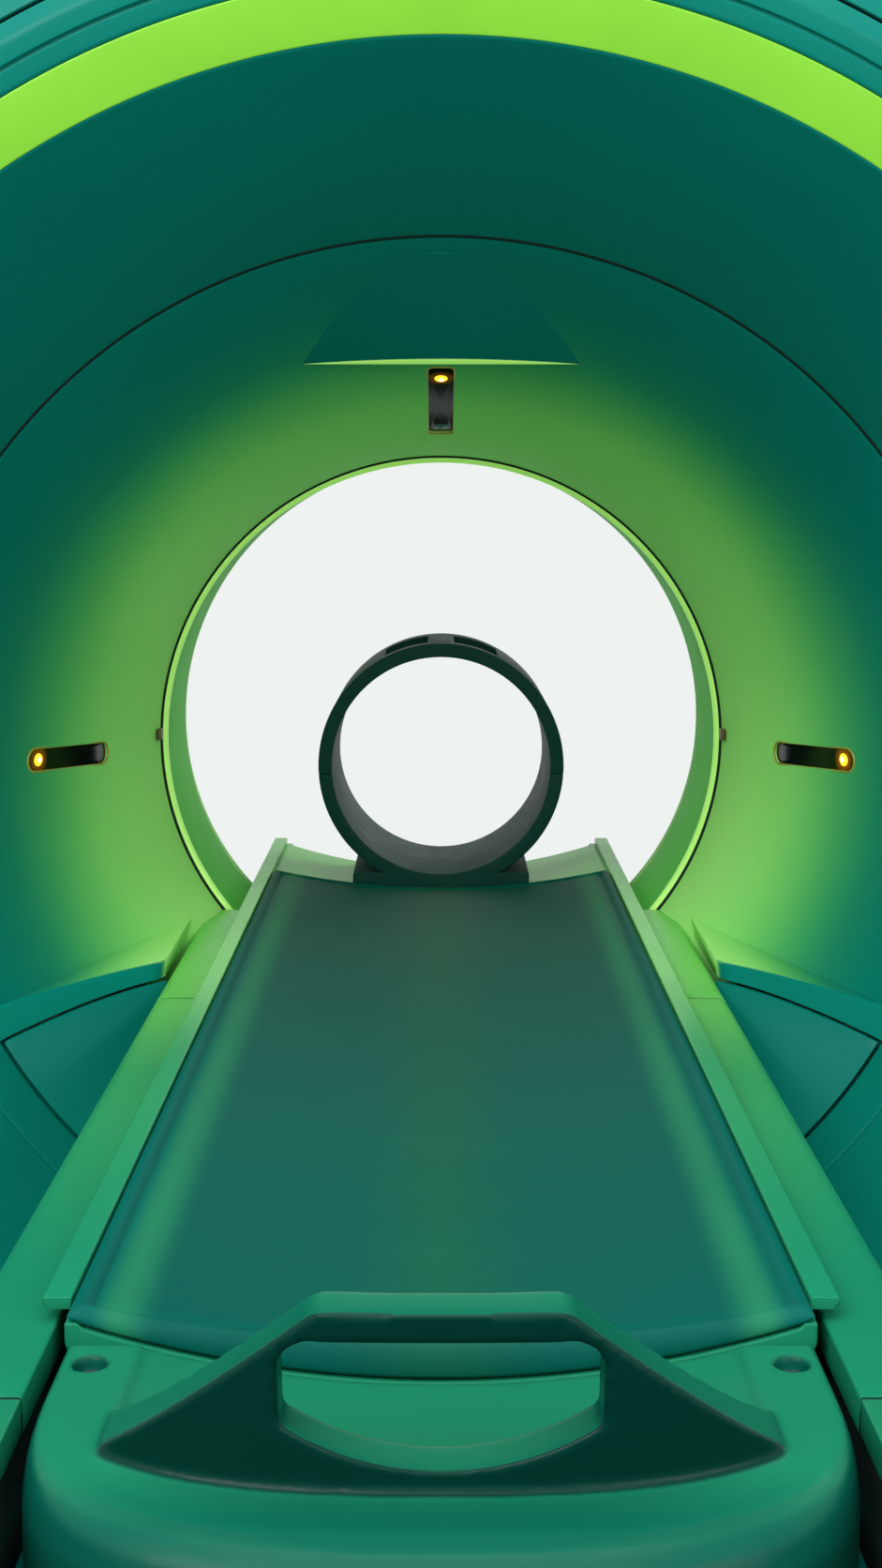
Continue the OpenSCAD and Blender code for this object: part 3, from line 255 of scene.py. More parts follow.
def satin_cover(name, colour, shade, roughness):
    """Satin paint whose colour drifts to a shade over 0.4 m."""
    material, tree = new_finish(name, roughness=roughness, **SATIN)
    uneven_satin(tree, blend_colours(tree, speckle(tree, 0.4), linear(colour), linear(shade)), roughness)
    return material


COVER = satin_cover("satin_teal_cover", "#04796b", "#036b62", 0.36)

# %% [markdown]
# ## Rails in the tunnel's light
# The rails and strips are the same paint in green. Near the gantry the lime light of the tunnel falls on
# them, and that light is painted into their colour, which goes from lime to green along the table.

# %% Rail paint with the tunnel's light painted in
PAINTED_SPILL_START, PAINTED_SPILL_END = MOUTH_Y - 0.3, MOUTH_Y - 1.25


def satin_with_painted_light_spill(name, near, middle, far, roughness=0.3):
    """Green satin paint with the tunnel's light painted in: three colours along the table, at the gantry, on
    the way, and at the foot.
    """
    material, tree = new_finish(name, roughness=roughness, **SATIN)
    share = remap(tree, parts(tree)["Y"], PAINTED_SPILL_START, PAINTED_SPILL_END)
    uneven_satin(tree, colour_ramp(tree, share, [(0.0, near), (0.5, middle), (1.0, far)]), roughness)
    return material


# The lime near the gantry is painted light from the tunnel, not a colour of the paint.
RAIL = satin_with_painted_light_spill("satin_green_rail_painted_light", "#74d45c", "#2c905c", "#187d5c")
STRIP = satin_with_painted_light_spill("satin_strip_painted_light", "#7fd66e", "#2a9061", "#1c8360", 0.26)

# %% [markdown]
# ## The glow round the tunnel
# The tunnel's lime light on the cover near it is painted in: the colour fades from lime to teal. It is a
# plain colour change with the distance from the bore axis, so a ramp reads that distance: the length of the
# point with its y taken out.

# %% Cover with the painted glow
PAINTED_GLOW_STOPS = [(0.35, "#bcfa90"), (0.395, "#9aea7c"), (0.43, "#4cb466"), (0.464, "#0a7f68"),
              (0.515, "#04756a")]
RAMP_REACH, WANDER = 0.8, 0.02


def satin_with_painted_glow(name, painted_shade_front=None):
    """Satin paint with the tunnel's light painted in by the distance from the bore axis, and painted shade on
    faces turned to the foot if a colour is given.
    """
    material, tree = new_finish(name, roughness=0.45, ior=1.48, specular_ior_level=0.04)
    flat = add(tree, "ShaderNodeMapping", {0: coords(tree), "Location": (0, 0, -AXIS_Z), "Scale": (1, 0, 1)})
    wander = remap(tree, speckle(tree, 0.5), 0, 1, -WANDER, WANDER)
    place = combine(tree, "ADD", length_of(tree, flat.outputs[0]), wander)
    stops = [(radius / RAMP_REACH, tone) for radius, tone in PAINTED_GLOW_STOPS]
    colour = colour_ramp(tree, combine(tree, "DIVIDE", place, RAMP_REACH), stops, "B_SPLINE")
    # Painted shade: faces turned to the foot lose the painted lime light and take the shade colour.
    if painted_shade_front:
        front = remap(tree, parts(tree, "Normal")["Y"], -0.1, -0.45)
        colour = blend_colours(tree, front, colour, linear(painted_shade_front))
    feed(tree, "Base Color", colour)
    orange_peel(tree)
    return material


GLOW = satin_with_painted_glow("painted_glow_cover")
# The wings' ledges: painted lime light on their tops, painted shade on their fronts.
LEDGE = satin_with_painted_glow("painted_glow_ledge", "#04796b")

# %% [markdown]
# ## Light, glass and trim
# The band is a milky acrylic ring over light diodes, so it gives light of its own. The tunnel's wall, its
# trim ring and the window rims are only lit, and that light is painted in as a glow of their own. The windows
# are smoked acrylic, nearly black and very glossy, and the lenses in them glow amber.

# %% Lit and glossy finishes
def glossy(name, colour, roughness, metallic=0.0, grain=0.0, **fixed):
    """A plain glossy or metal finish with a little uneven gloss, and grain as a bump where it has any."""
    material, tree = new_finish(name, metallic=metallic, **fixed)
    darker = (*(0.86 * c for c in linear(colour)[:3]), 1.0)
    feed(tree, "Base Color", blend_colours(tree, speckle(tree, 0.06), linear(colour), darker))
    uneven_gloss(tree, 0.03, 0.85 * roughness, 1.2 * roughness)
    if grain:
        bumps(tree, [(speckle(tree, 2 * MM, 3.0), grain, 0.3 * MM)])
    return material


def lit(name, colour, roughness, light, strength, **fixed):
    """A glossy finish that gives light of its own: a lamp's, or light painted in on a part that is only lit.
    """
    return glossy(name, colour, roughness, emission_color=linear(light), emission_strength=strength, **fixed)


BAND = lit("lit_acrylic_band", "#7cc42a", 0.4, "#8fdb36", 0.1)
# Painted glow: the tunnel's wall is only lit, and its light is painted in as emission.
TUBE = lit("tunnel_gel_coat_painted_glow", "#55b84a", 0.5, "#4f9e42", 0.3, specular_ior_level=0.03)
# Painted glow: the trim ring and the visor's lip are only lit, and their light is painted in as emission.
TRIM = lit("pale_trim_painted_glow", "#b8ee7c", 0.25, "#a9e66a", 0.4)
GLASS = glossy("smoked_window", "#040706", 0.14, specular_ior_level=0.3)
LENS = lit("amber_lens", "#ffb52e", 0.2, "#ffb020", 2.2)
LENS_CORE = lit("amber_lens_core", "#fff2b8", 0.2, "#fff0a8", 3.0)
# Painted glow: the lamp's light on the window rims, painted in as emission.
HALO = lit("window_rim_painted_glow", "#8d8a2c", 0.3, "#a59a34", 0.15)
PANE = glossy("sensor_pane", "#3c6a63", 0.15)
SEAL = glossy("dark_seal", "#04211b", 0.6, grain=0.2, specular_ior_level=0.2)
CATCH = glossy("brown_catch", "#5e4a2c", 0.4, grain=0.15)
DARK = glossy("dark_plastic", "#1d2c2c", 0.5, grain=0.35)
SHELL = glossy("satin_dark_shell", "#0b3f38", 0.55, specular_ior_level=0.12)
SKIRT = glossy("skirt_powder_coat", "#0c4643", 0.45, grain=0.3)
VESSEL = glossy("vessel_paint", "#cdd8d6", 0.3)
STEEL = glossy("brushed_steel", "#9ba6aa", 0.34, metallic=1.0, grain=0.1)
COPPER = glossy("cast_copper_coil", "#a8663f", 0.4, metallic=0.6, grain=0.2)
FORMER = glossy("coil_former", "#cdbb80", 0.5, grain=0.3)
NYLON = glossy("turned_nylon", "#dfe5df", 0.35, grain=0.1)
BELT = glossy("belt_rubber", "#111515", 0.65, grain=0.3)
BOARD = glossy("board_solder_mask", "#23643a", 0.35)

# %% [markdown]
# ## Pieces and how they ride
# Each new surface is worked out as whole arrays of points and handed to Blender once. A piece then rides on
# the body of the part that it stands for, and takes that part's place.

# %% Mesh helpers
def grid_faces(rows, cols, close_rows=False, close_cols=False):
    """Quads of a grid of points, joined round at the ends where it closes."""
    i, j = np.meshgrid(np.arange(rows - (not close_rows)), np.arange(cols - (not close_cols)), indexing="ij")
    k, m = (i + 1) % rows, (j + 1) % cols
    quads = np.stack([i * cols + j, k * cols + j, k * cols + m, i * cols + m], axis=-1)
    return quads.reshape(-1, 4).tolist()


def tube_faces(rows, cols):
    """Faces of rings joined into a tube. Point i of an end ring is across from point cols - 1 - i, so quads
    fill it."""
    i = np.arange((cols - 1) // 2)
    quads = np.stack([i, i + 1, cols - 2 - i, cols - 1 - i], axis=-1)
    return grid_faces(rows, cols, False, True) + np.concatenate([quads, quads + (rows - 1) * cols]).tolist()


def tidy_mesh(mesh, sharp):
    """Joins doubled points, turns faces outwards (a closed volume is positive) and shades up to an angle."""
    bm = bmesh.new()
    bm.from_mesh(mesh)
    bmesh.ops.remove_doubles(bm, verts=bm.verts, dist=1e-6)
    bmesh.ops.recalc_face_normals(bm, faces=bm.faces)
    volume = bm.calc_volume(signed=True)
    bm.to_mesh(mesh)
    bm.free()
    if len(mesh.loops) == 2 * len(mesh.edges) and volume < 0:
        mesh.flip_normals()
    mesh.shade_smooth()
    mesh.set_sharp_from_angle(angle=math.radians(sharp))


def placed(name, data):
    """A new object with its data, in the scene."""
    obj = bpy.data.objects.new(name, data)
    bpy.context.collection.objects.link(obj)
    return obj


def new_piece(name, points, faces, finish, sharp=40):
    """A mesh object from an array of points and a list of faces."""
    mesh = bpy.data.meshes.new(name)
    mesh.from_pydata(np.reshape(points, (-1, 3)).tolist(), [], faces)
    tidy_mesh(mesh, sharp)
    mesh.materials.append(finish)
    return placed(name, mesh)


def stands_for(obj, node):
    """obj takes the place of a CAD node, on its body."""
    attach(obj, frame["nodes"][node]["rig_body"])
    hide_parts(node)
    print(f"{obj.name}: {len(obj.data.polygons)} faces, stands for {node}")
    return obj


def added_to(obj, node, slot=None):
    """obj is an extra piece on the body of a CAD node."""
    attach(obj, frame["nodes"][node]["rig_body"])
    slot or SLOT_OF[node]
    print(f"{obj.name}: {len(obj.data.polygons)} faces, goes with {node}")
    return obj


def baked(obj):
    """Turns obj's modifiers into its mesh."""
    bpy.context.view_layer.update()
    graph = bpy.context.evaluated_depsgraph_get()
    mesh = bpy.data.meshes.new_from_object(obj.evaluated_get(graph))
    obj.modifiers.clear()
    obj.data = mesh
    return obj


def cut(obj, cutters):
    """Takes the cutters' shapes out of obj, and removes them."""
    for cutter in cutters:
        tool = obj.modifiers.new("cut", "BOOLEAN")
        tool.object, tool.operation, tool.solver = cutter, "DIFFERENCE", "EXACT"
    baked(obj)
    for cutter in cutters:
        bpy.data.objects.remove(cutter)
    obj.data.polygons.foreach_set("material_index", np.zeros(len(obj.data.polygons), dtype=np.int32))
    obj.data.set_sharp_from_angle(angle=math.radians(40))
    return obj


# %% [markdown]
# ## Round edges
# A moulded edge is never a knife edge. Each corner of a section is swapped for a short curve. With corner C
# and the points A and B a fillet away on its two sides, the curve is (1-t)^2 A + 2t(1-t) C + t^2 B.

# %% Rounded sections, lathe and prism
def rounded(points, fillet, steps=5):
    """Closed sections, one or a stack, with rounded corners. fillet is one length or one a point."""
    p = np.asarray(points, float)
    before, after = np.roll(p, 1, axis=-2) - p, np.roll(p, -1, axis=-2) - p
    len_before, len_after = np.linalg.norm(before, axis=-1), np.linalg.norm(after, axis=-1)
    reach = np.minimum(fillet, 0.45 * np.minimum(len_before, len_after))
    a = p + before * (reach / len_before)[..., None]
    b = p + after * (reach / len_after)[..., None]
    t = np.linspace(0, 1, steps)[:, None]
    curve = (1 - t) ** 2 * a[..., None, :] + 2 * t * (1 - t) * p[..., None, :] + t ** 2 * b[..., None, :]
    return curve.reshape(*p.shape[:-2], -1, p.shape[-1])


def lathe(name, section, finish, start=0.0, end=2 * math.pi, steps=256):
    """A section of (radius, distance) carried round the bore axis from one angle to another."""
    full = abs(end - start - 2 * math.pi) < 1e-6
    angle = np.linspace(start, end, steps, endpoint=not full)
    section = np.asarray(section)
    points = around_bore(section[:, :1], angle[None, :], section[:, 1:])
    faces = grid_faces(len(section), len(angle), True, full)
    if not full:
        ring = np.arange(len(section)) * len(angle)
        faces += [ring.tolist(), (ring + len(angle) - 1).tolist()]
    return new_piece(name, points, faces, finish)


def prism(name, outline, first, second, finish):
    """A flat outline, given as points in space, joined to the same outline moved by a vector."""
    near, far = np.asarray(outline) + first, np.asarray(outline) + second
    n = len(near)
    faces = grid_faces(2, n, False, True) + [list(range(n)), list(range(n, 2 * n))]
    return new_piece(name, np.stack([near, far]), faces, finish)


def block(inner, outer, first_d, last_d):
    """Rectangular section from an inner to an outer radius, between two distances."""
    return [[inner, first_d], [outer, first_d], [outer, last_d], [inner, last_d]]


def quarter(centre, radius, first, last, steps=24):
    """Points of (radius, distance) on a circle between two angles in degrees."""
    t = np.radians(np.linspace(first, last, steps))
    return pairs(centre[0] + radius * np.cos(t), centre[1] + radius * np.sin(t))


def full_turn(steps):
    """Angles evenly round a circle."""
    return np.linspace(0, 2 * math.pi, steps, endpoint=False)


def inward(section):
    """Unit normals that point into a closed section: a quarter turn from the step to the next point."""
    step = np.roll(section, -1, axis=0) - np.roll(section, 1, axis=0)
    normal = pairs(-step[:, 1], step[:, 0]) / np.linalg.norm(step, axis=1)[:, None]
    x, z = section.T
    return normal * np.sign(np.sum(x * np.roll(z, -1) - np.roll(x, -1) * z))


def wall_section(curve, thickness, fillet):
    """Closed section of a wall: a curve of (radius, distance), and the same curve further from the axis."""
    outer = curve[::-1] + [thickness, 0]
    corners = np.zeros(2 * len(curve))
    corners[[0, len(curve) - 1, len(curve), -1]] = fillet
    return rounded(np.concatenate([curve, outer]), corners)


# %% The line under the wings
WING_DROP, WING_FACE, WING_FALL, WING_GROW = 205 * MM, 19 * MM, 17 * MM, 20 * MM
WING_W, WING_POWER, WING_SPARE, FULL_D = 164 * MM, 1.6, 36 * MM, 250 * MM
WING_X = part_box("wing_right")[0][0]


def wing_line(x):
    """Heights of a wing's top and underside: each falls with (distance from the rail / width) to the 1.6."""
    share = (np.maximum(x - WING_X, 0) / WING_W) ** WING_POWER
    return -WING_DROP - WING_FALL * share, -WING_DROP - WING_FACE - (WING_FALL + WING_GROW) * share


def wing_line_prism(name, gap, side, first_d, length):
    """Everything above (side 1) or below (side -1) the undersides of the wings, as a block along the bore."""
    x = np.append(np.linspace(WING_X, WING_X + WING_W + WING_SPARE, 24), BARREL_R)
    line = pairs(x, wing_line(x)[1] + side * gap)
    far_corners = [[BARREL_R, side * BARREL_R], [-BARREL_R, side * BARREL_R]]
    outline = np.concatenate([line[::-1] * [-1, 1], line, far_corners])
    return prism(name, points_at(outline[:, 0], first_d, outline[:, 1]), [0, 0, 0], [0, -length, 0], GLOW)


# %% [markdown]
# ## Front covers
# The dish, the lit band, the bezel and the outer cover are rings round the bore, so a lathe makes them.
# Their edges at the seams are rounded by 2 to 4 mm, which draws the dark seam and the bright lip beside it.

# %% Dish, band, bezel and outer cover
EDGE = 4 * MM
dish_slope = (DISH_R - SEAM_R) / (DISH_D - SEAM_D)
dish_start = SEAM_D + SEAM
dish_curve = np.array([[SEAM_R + dish_slope * SEAM, dish_start], [DISH_R, DISH_D]])
stands_for(lathe("front_dish_cover", wall_section(dish_curve, WALL, EDGE), COVER), "front_dish")
PANEL_D = 482 * MM
ring_steps = np.linspace(PANEL_D + SEAM, dish_start, 6)
ring_wall = wall_section(pairs(flare_radius(ring_steps), ring_steps), WALL, 2 * MM)
lower_ring = lathe("dish_lower_ring", ring_wall, COVER, QUARTER_TURN, 3 * QUARTER_TURN, 128)
BAND_T = 5 * MM
band_section = [[DISH_R + AIR, DISH_D], [BAND_R - AIR, BAND_D - AIR], [BAND_R - AIR, BAND_D - BAND_T],
                [DISH_R + 9 * MM, DISH_D - BAND_T]]
stands_for(lathe("lit_band_diffuser", rounded(band_section, 2 * MM), BAND), "light_band")
GROOVE_R, GROOVE_HALF, BEZEL_T = 730 * MM, 1.5 * MM, 22 * MM
groove_in, groove_out = GROOVE_R - GROOVE_HALF, GROOVE_R + GROOVE_HALF
bezel_section = [[BAND_R, BAND_D], [groove_in, BAND_D + 4 * MM], [groove_in, BAND_D + MM],
                 [groove_out, BAND_D + MM], [groove_out, BAND_D + 4.5 * MM],
                 [(GROOVE_R + BEZEL_R) / 2, BAND_D + 6 * MM], [BEZEL_R - 6 * MM, BAND_D],
                 [BEZEL_R, BAND_D - 4 * MM], [BEZEL_R, BAND_D - BEZEL_T], [BAND_R, BAND_D - BEZEL_T]]
stands_for(lathe("bezel_ring", rounded(bezel_section, 3 * MM), COVER), "front_bezel")

SEAL_SINK = 3.6 * MM
seal_middle = (SEAM_R + SEAL_SINK, SEAM_D + SEAM / 2)
seam_seal = lathe("seam_ring_seal", quarter(seal_middle, 3 * MM, 0, 345, 16), SEAL)
seal_cutter = wing_line_prism("seal_cutter", 0, -1, SEAM_D - 0.1, 0.3)
added_to(cut(seam_seal, [seal_cutter]), "front_dish", "seal_black")

# %% [markdown]
# ## The round body
# A big rounded edge leads from the face to the side of the body. The edge is a quarter circle, worked out
# from its centre. The same curve, mirrored, closes the rear.

# %% Outer cover, body shells and rear
EDGE_R = 110 * MM


def end_cover(name, inner, centre, sign):
    """Ring from an inner edge (radius, distance) to the big rounded edge round centre."""
    outer = quarter(centre, EDGE_R, 90 * sign, 0)
    inside = quarter(centre, EDGE_R - WALL, 0, 90 * sign)
    section = np.concatenate([[inner], outer, inside, [[inner[0], inner[1] - sign * WALL]]])
    fillets = np.zeros(len(section))
    fillets[[0, len(outer), len(outer) + 1, -1]] = EDGE
    return lathe(name, rounded(section, fillets), COVER)


FACE_SLOPE, REAR_SLOPE = 78 * MM, 25 * MM
front_centre = (BARREL_R - EDGE_R, BAND_D - FACE_SLOPE - EDGE_R)
rear_centre = (BARREL_R - EDGE_R, REAR_D + REAR_SLOPE + EDGE_R)
stands_for(end_cover("outer_front_cover", (BEZEL_R + SEAM, BAND_D - 6 * MM), front_centre, 1), "front_cover")
REAR_FLARE = 615 * MM
rear_r = float(flare_radius(REAR_FLARE))
stands_for(end_cover("outer_rear_cover", (rear_r + WALL + SEAM, REAR_D), rear_centre, -1), "rear_cover")
body_front, body_back = front_centre[1] - SEAM, rear_centre[1] + SEAM
shell = rounded(block(BARREL_R - WALL, BARREL_R, body_back, body_front), EDGE)
gap = SEAM / 2 / BARREL_R
top_shell, right_shell, left_shell = (
    lathe(f"{word}_body_cover", shell, COVER, first * QUARTER_TURN + gap, last * QUARTER_TURN - gap, steps)
    for word, first, last, steps in (("top", -1, 1, 160), ("right", 1, 2, 96), ("left", 2, 3, 96)))

# %% Holes for the helium outlet and the feet
def post(name, x, y, low, high, radius):
    """Upright round cutter."""
    t = full_turn(48)
    outline = np.stack([x + radius * np.cos(t), y + radius * np.sin(t), low + 0 * t], axis=-1)
    return prism(name, outline, [0, 0, 0], [0, 0, high - low], COVER)


PIPE_HOLE = 56 * MM
pipe_low, pipe_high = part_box("quench_flange")
pipe_y = (pipe_low[1] + pipe_high[1]) / 2
cut(top_shell, [post("pipe_cutter", 0, pipe_y, AXIS_Z + 0.9, AXIS_Z + 1.1, PIPE_HOLE)])
stands_for(top_shell, "top_cover")
FOOT_X, FOOT_D, FOOT_HOLE = 450 * MM, 480 * MM, 59 * MM
foot_mid = MOUTH_Y - TUBE_END / 2
for shell_piece, side, node in ((right_shell, 1, "side_cover_right"), (left_shell, -1, "side_cover_left")):
    cut(shell_piece, [post("foot_cutter", side * FOOT_X, foot_mid + step * FOOT_D, 0, 0.5, FOOT_HOLE)
                      for step in (-1, 1)])
    stands_for(shell_piece, node)

# %% [markdown]
# ## The tunnel
# The tunnel is a wound glass fibre tube with a glossy gel coat. A pale trim ring with a dark seal closes
# the joint to the flare. The flare itself is one moulded shell that opens like a horn to the seam ring.

# %% Tunnel, trim ring, seal and rear flare
TUBE_START, RING_T, RING_RISE = -14 * MM, 7 * MM, 7.8 * MM
liner_section = block(BORE_R, BORE_R + WALL, TUBE_END, TUBE_START)
stands_for(lathe("tunnel_liner", rounded(liner_section, MM), TUBE), "bore_tube")
ring_section = [[BORE_R - RING_RISE, TUBE_START + AIR], [BORE_R + RING_T, TUBE_START + AIR],
                [BORE_R + RING_T, -5 * MM], [BORE_R - RING_T / 2, -2.9 * MM], [BORE_R - RING_RISE, -6 * MM]]
stands_for(lathe("tunnel_trim_ring", rounded(ring_section, 2.5 * MM), TRIM), "bore_trim_ring")
SEAL_RISE, SEAL_BACK = 2.2 * MM, -4.7 * MM
seal_section = block(BORE_R - SEAL_RISE, BORE_R + WALL, SEAL_BACK, SEAL_LIP)
stands_for(lathe("tunnel_seal", rounded(seal_section, MM), SEAL), "bore_seal")
REAR_GAP = 0.5 * MM
rear_steps = np.linspace(0, REAR_FLARE, 40)
rear_d = TUBE_END - REAR_GAP - rear_steps * (1 - REAR_GAP / REAR_FLARE)
rear_curve = pairs(flare_radius(rear_steps), rear_d)
stands_for(lathe("rear_flare_shell", wall_section(rear_curve, WALL, 3 * MM), GLOW), "rear_funnel")

# %% [markdown]
# ## Light windows
# Each window is a long rounded slot in the flare with a smoked pane sunk 1.5 mm into it. The slot's outline
# is drawn flat and then laid on the flare, whose height over the flat is the root of (radius^2 - offset^2).

# %% Slot outlines laid on the flare
TOP_SLOT = {"start": 127 * MM, "length": 180 * MM, "width": 28 * MM, "corner": 6 * MM}
SIDE_SLOT = {"start": 177 * MM, "length": 158 * MM, "width": 24 * MM, "corner": 12 * MM}
SIDE_LIFT = 6 * MM
SIDE_TILT = math.radians(3.6)


def slot_outline(slot, grow=0.0):
    """Closed outline (across, along) of a slot with round corners, grown by a margin."""
    half, length, r = slot["width"] / 2 + grow, slot["length"] + 2 * grow, slot["corner"] + grow
    t = np.linspace(0, QUARTER_TURN, 12)
    arc = pairs(np.cos(t), np.sin(t)) * r
    centre = np.array([half - r, length / 2 - r])
    turns = [arc * [sx, sy] + centre * [sx, sy] for sx, sy in ((1, 1), (-1, 1), (-1, -1), (1, -1))]
    turns[1], turns[3] = turns[1][::-1], turns[3][::-1]
    return np.concatenate(turns) + [0, length / 2 - grow]


def on_top(across, along, sink):
    """Point on the flare above the axis, sunk into its wall."""
    d = TOP_SLOT["start"] + along
    return points_at(across, d, np.sqrt(flare_radius(d) ** 2 - across ** 2) + sink)


def on_side(side):
    """The same for a side window, which is turned a little about its inner end."""
    def laid(across, along, sink):
        """Point on the flare beside the axis, sunk into its wall."""
        lift = SIDE_LIFT - across * math.cos(SIDE_TILT) + along * math.sin(SIDE_TILT)
        d = SIDE_SLOT["start"] + across * math.sin(SIDE_TILT) + along * math.cos(SIDE_TILT)
        x = np.sqrt(flare_radius(d) ** 2 - lift ** 2) + sink
        return points_at(side * x, d, lift)
    return laid


WINDOWS = [("top", "laser_window_top", TOP_SLOT, on_top),
           ("left", "laser_window_left", SIDE_SLOT, on_side(-1)),
           ("right", "laser_window_right", SIDE_SLOT, on_side(1))]


def laid_pad(name, outline, laid, profile, finish):
    """A pad over an outline: each (share, sink) row is the outline drawn in to its middle by share."""
    middle = (outline.max(axis=0) + outline.min(axis=0)) / 2
    share, sink = np.array(profile).T[:, :, None]
    across = middle[0] + share * (outline[None, :, 0] - middle[0])
    along = middle[1] + share * (outline[None, :, 1] - middle[1])
    return new_piece(name, laid(across, along, sink), grid_faces(*across.shape, False, True), finish)


# %% [markdown]
# ## The flare
# The flare is turned like the other covers and then cut. The windows' slots go through it, and below the
# wings it ends at 0.25 m, where separate panels carry on. The cutters are the slots' outlines, made thick.

# %% Flare shell with its cut-outs
flare_steps = np.linspace(0.5 * MM, SEAM_D, 56)
flare_curve = pairs(flare_radius(flare_steps), flare_steps)
flare = lathe("flare_shell", wall_section(flare_curve, WALL, EDGE), GLOW, steps=288)
CUT_REACH = 30 * MM
cut_profile = [(0, -CUT_REACH), (1, -CUT_REACH), (1, CUT_REACH), (0, CUT_REACH)]
cutters = [laid_pad("slot_cutter", slot_outline(slot, 0.5 * MM), laid, cut_profile, GLOW)
           for _, _, slot, laid in WINDOWS]
cutters.append(wing_line_prism("lower_cutter", -SEAM / 2, -1, FULL_D, 0.4))
added_to(cut(lower_ring, [wing_line_prism("upper_cutter", -SEAM / 2, 1, PANEL_D - 0.1, 0.4)]), "front_dish")
stands_for(cut(flare, cutters), "front_funnel")

# %% [markdown]
# ## Window panes, rims and lenses
# A pane is the slot's outline laid on the flare, with a small round edge. A fine rim runs round each slot;
# the lamp's light on it is painted in as a glow. The lens is a low dome near the front end of its window.

# %% Panes and rims
PANE_SINK, PANE_BACK, RIM_R = 1.5 * MM, 6.4 * MM, 1.1 * MM
PANE_PROFILE = [(0, PANE_SINK), (0.5, PANE_SINK), (0.96, PANE_SINK), (0.995, 2.2 * MM), (1, 3 * MM),
                (1, PANE_BACK), (0, PANE_BACK)]


def rim(name, outline, laid, finish):
    """A round bead along an outline: each point is moved out and up by the cosine and sine of its angle."""
    t = full_turn(8)[:, None]
    ring = outline - RIM_R * np.cos(t)[..., None] * inward(outline)
    points = laid(ring[..., 0], ring[..., 1], RIM_R * np.sin(t))
    return new_piece(name, points, grid_faces(*points.shape[:2], True, True), finish)


def dome(slot, side, laid, radius, rise, depth, sink):
    """Points and faces of a low dome at a lamp's place: its height follows the root of (1 - share^2)."""
    share = np.append(np.linspace(0, 1, 8), 1)[:, None]
    height = np.append(np.sqrt(1 - share[:-1, 0] ** 2) * rise, -depth)[:, None]
    t = full_turn(32)
    along = slot["length"] - LENS_BACK[side] + radius * share * np.sin(t)
    points = laid(radius * share * np.cos(t), along, sink - height)
    return points, grid_faces(*points.shape[:2], False, True)


LENS_R, CORE_R = 7 * MM, 3.15 * MM
LENS_BACK = {"top": 28 * MM, "left": 20 * MM, "right": 20 * MM}
for side, node, slot, laid in WINDOWS:
    outline = slot_outline(slot)
    stands_for(laid_pad(f"{side}_window_pane", outline, laid, PANE_PROFILE, GLASS), node)
    added_to(rim(f"{side}_window_rim", slot_outline(slot, 0.8 * MM), laid, HALO), node, "lens_amber")

# %% [markdown]
# ## Lamp light on the glass
# Round each lens the lamp lights the smoked glass from behind, and that light is painted into the glass's
# colour: its black turns amber over about 20 mm. The distance to the nearest lens, worked out in the
# material, drives that colour.

# %% Smoked glass with the lamps' glow painted in
LAMP_REACH = 20 * MM
lens_places = {}
for side, node, slot, laid in WINDOWS:
    lens_places[side] = laid(0.0, slot["length"] - LENS_BACK[side], PANE_SINK)
    tree = GLASS.node_tree
    ends = {0: coords(tree), 1: tuple(lens_places[side])}
    away = add(tree, "ShaderNodeVectorMath", ends, operation="DISTANCE").outputs["Value"]
    # Painted glow: amber blended into the glass's colour near each lens.
    share = remap(tree, away, LENS_R, LAMP_REACH, 1, 0, "SMOOTHERSTEP")
    below = tree.nodes["Principled BSDF"].inputs["Base Color"].links[0].from_socket
    feed(tree, "Base Color", blend_colours(tree, share, below, linear("#a05c0c")))
print("lamps at", {side: tuple(round(float(v), 3) for v in place) for side, place in lens_places.items()})

# %% Lenses and the sensor pane
lens_points, lens_faces = [], []
for side, node, slot, laid in WINDOWS:
    points, faces = dome(slot, side, laid, LENS_R, 1.6 * MM, 3 * MM, PANE_SINK)
    lens_faces += (np.array(faces) + len(lens_points) * points[..., 0].size).tolist()
    lens_points.append(points)
stands_for(new_piece("amber_lenses", lens_points, lens_faces, LENS), "laser_lenses")
for side, node, slot, laid in WINDOWS:
    points, faces = dome(slot, side, laid, CORE_R, 0.6 * MM, 0.5 * MM, 0.2 * MM)
    added_to(new_piece(f"{side}_lens_core", points, faces, LENS_CORE), node, "lens_amber")
PANE_SLOT = {"start": 0, "length": 16 * MM, "width": 18 * MM, "corner": 1.5 * MM}
sensor_outline = slot_outline(PANE_SLOT) + [0, 10 * MM]
sensor_profile = [(0, 0.9 * MM), (0.94, 0.9 * MM), (1, 1.2 * MM), (1, 1.8 * MM), (0, 1.8 * MM)]
sensor = laid_pad("top_sensor_pane", sensor_outline, on_top, sensor_profile, PANE)
added_to(sensor, "laser_window_top", "window_black")

# %% [markdown]
# ## The visor
# Above the top window a flat facet is cut across the flare, with a straight lower edge. Its plane meets the
# horn in a dome-shaped line: at each height the half width is the root of (radius^2 - height^2).

# %% Visor facet, underside and lip with a painted highlight
VISOR_LOW = (360 * MM, 434 * MM)
VISOR_TOP_D = 507 * MM
VISOR_TOP = (VISOR_TOP_D, float(flare_radius(VISOR_TOP_D)))
VISOR_BACK = (332 * MM, 445 * MM)


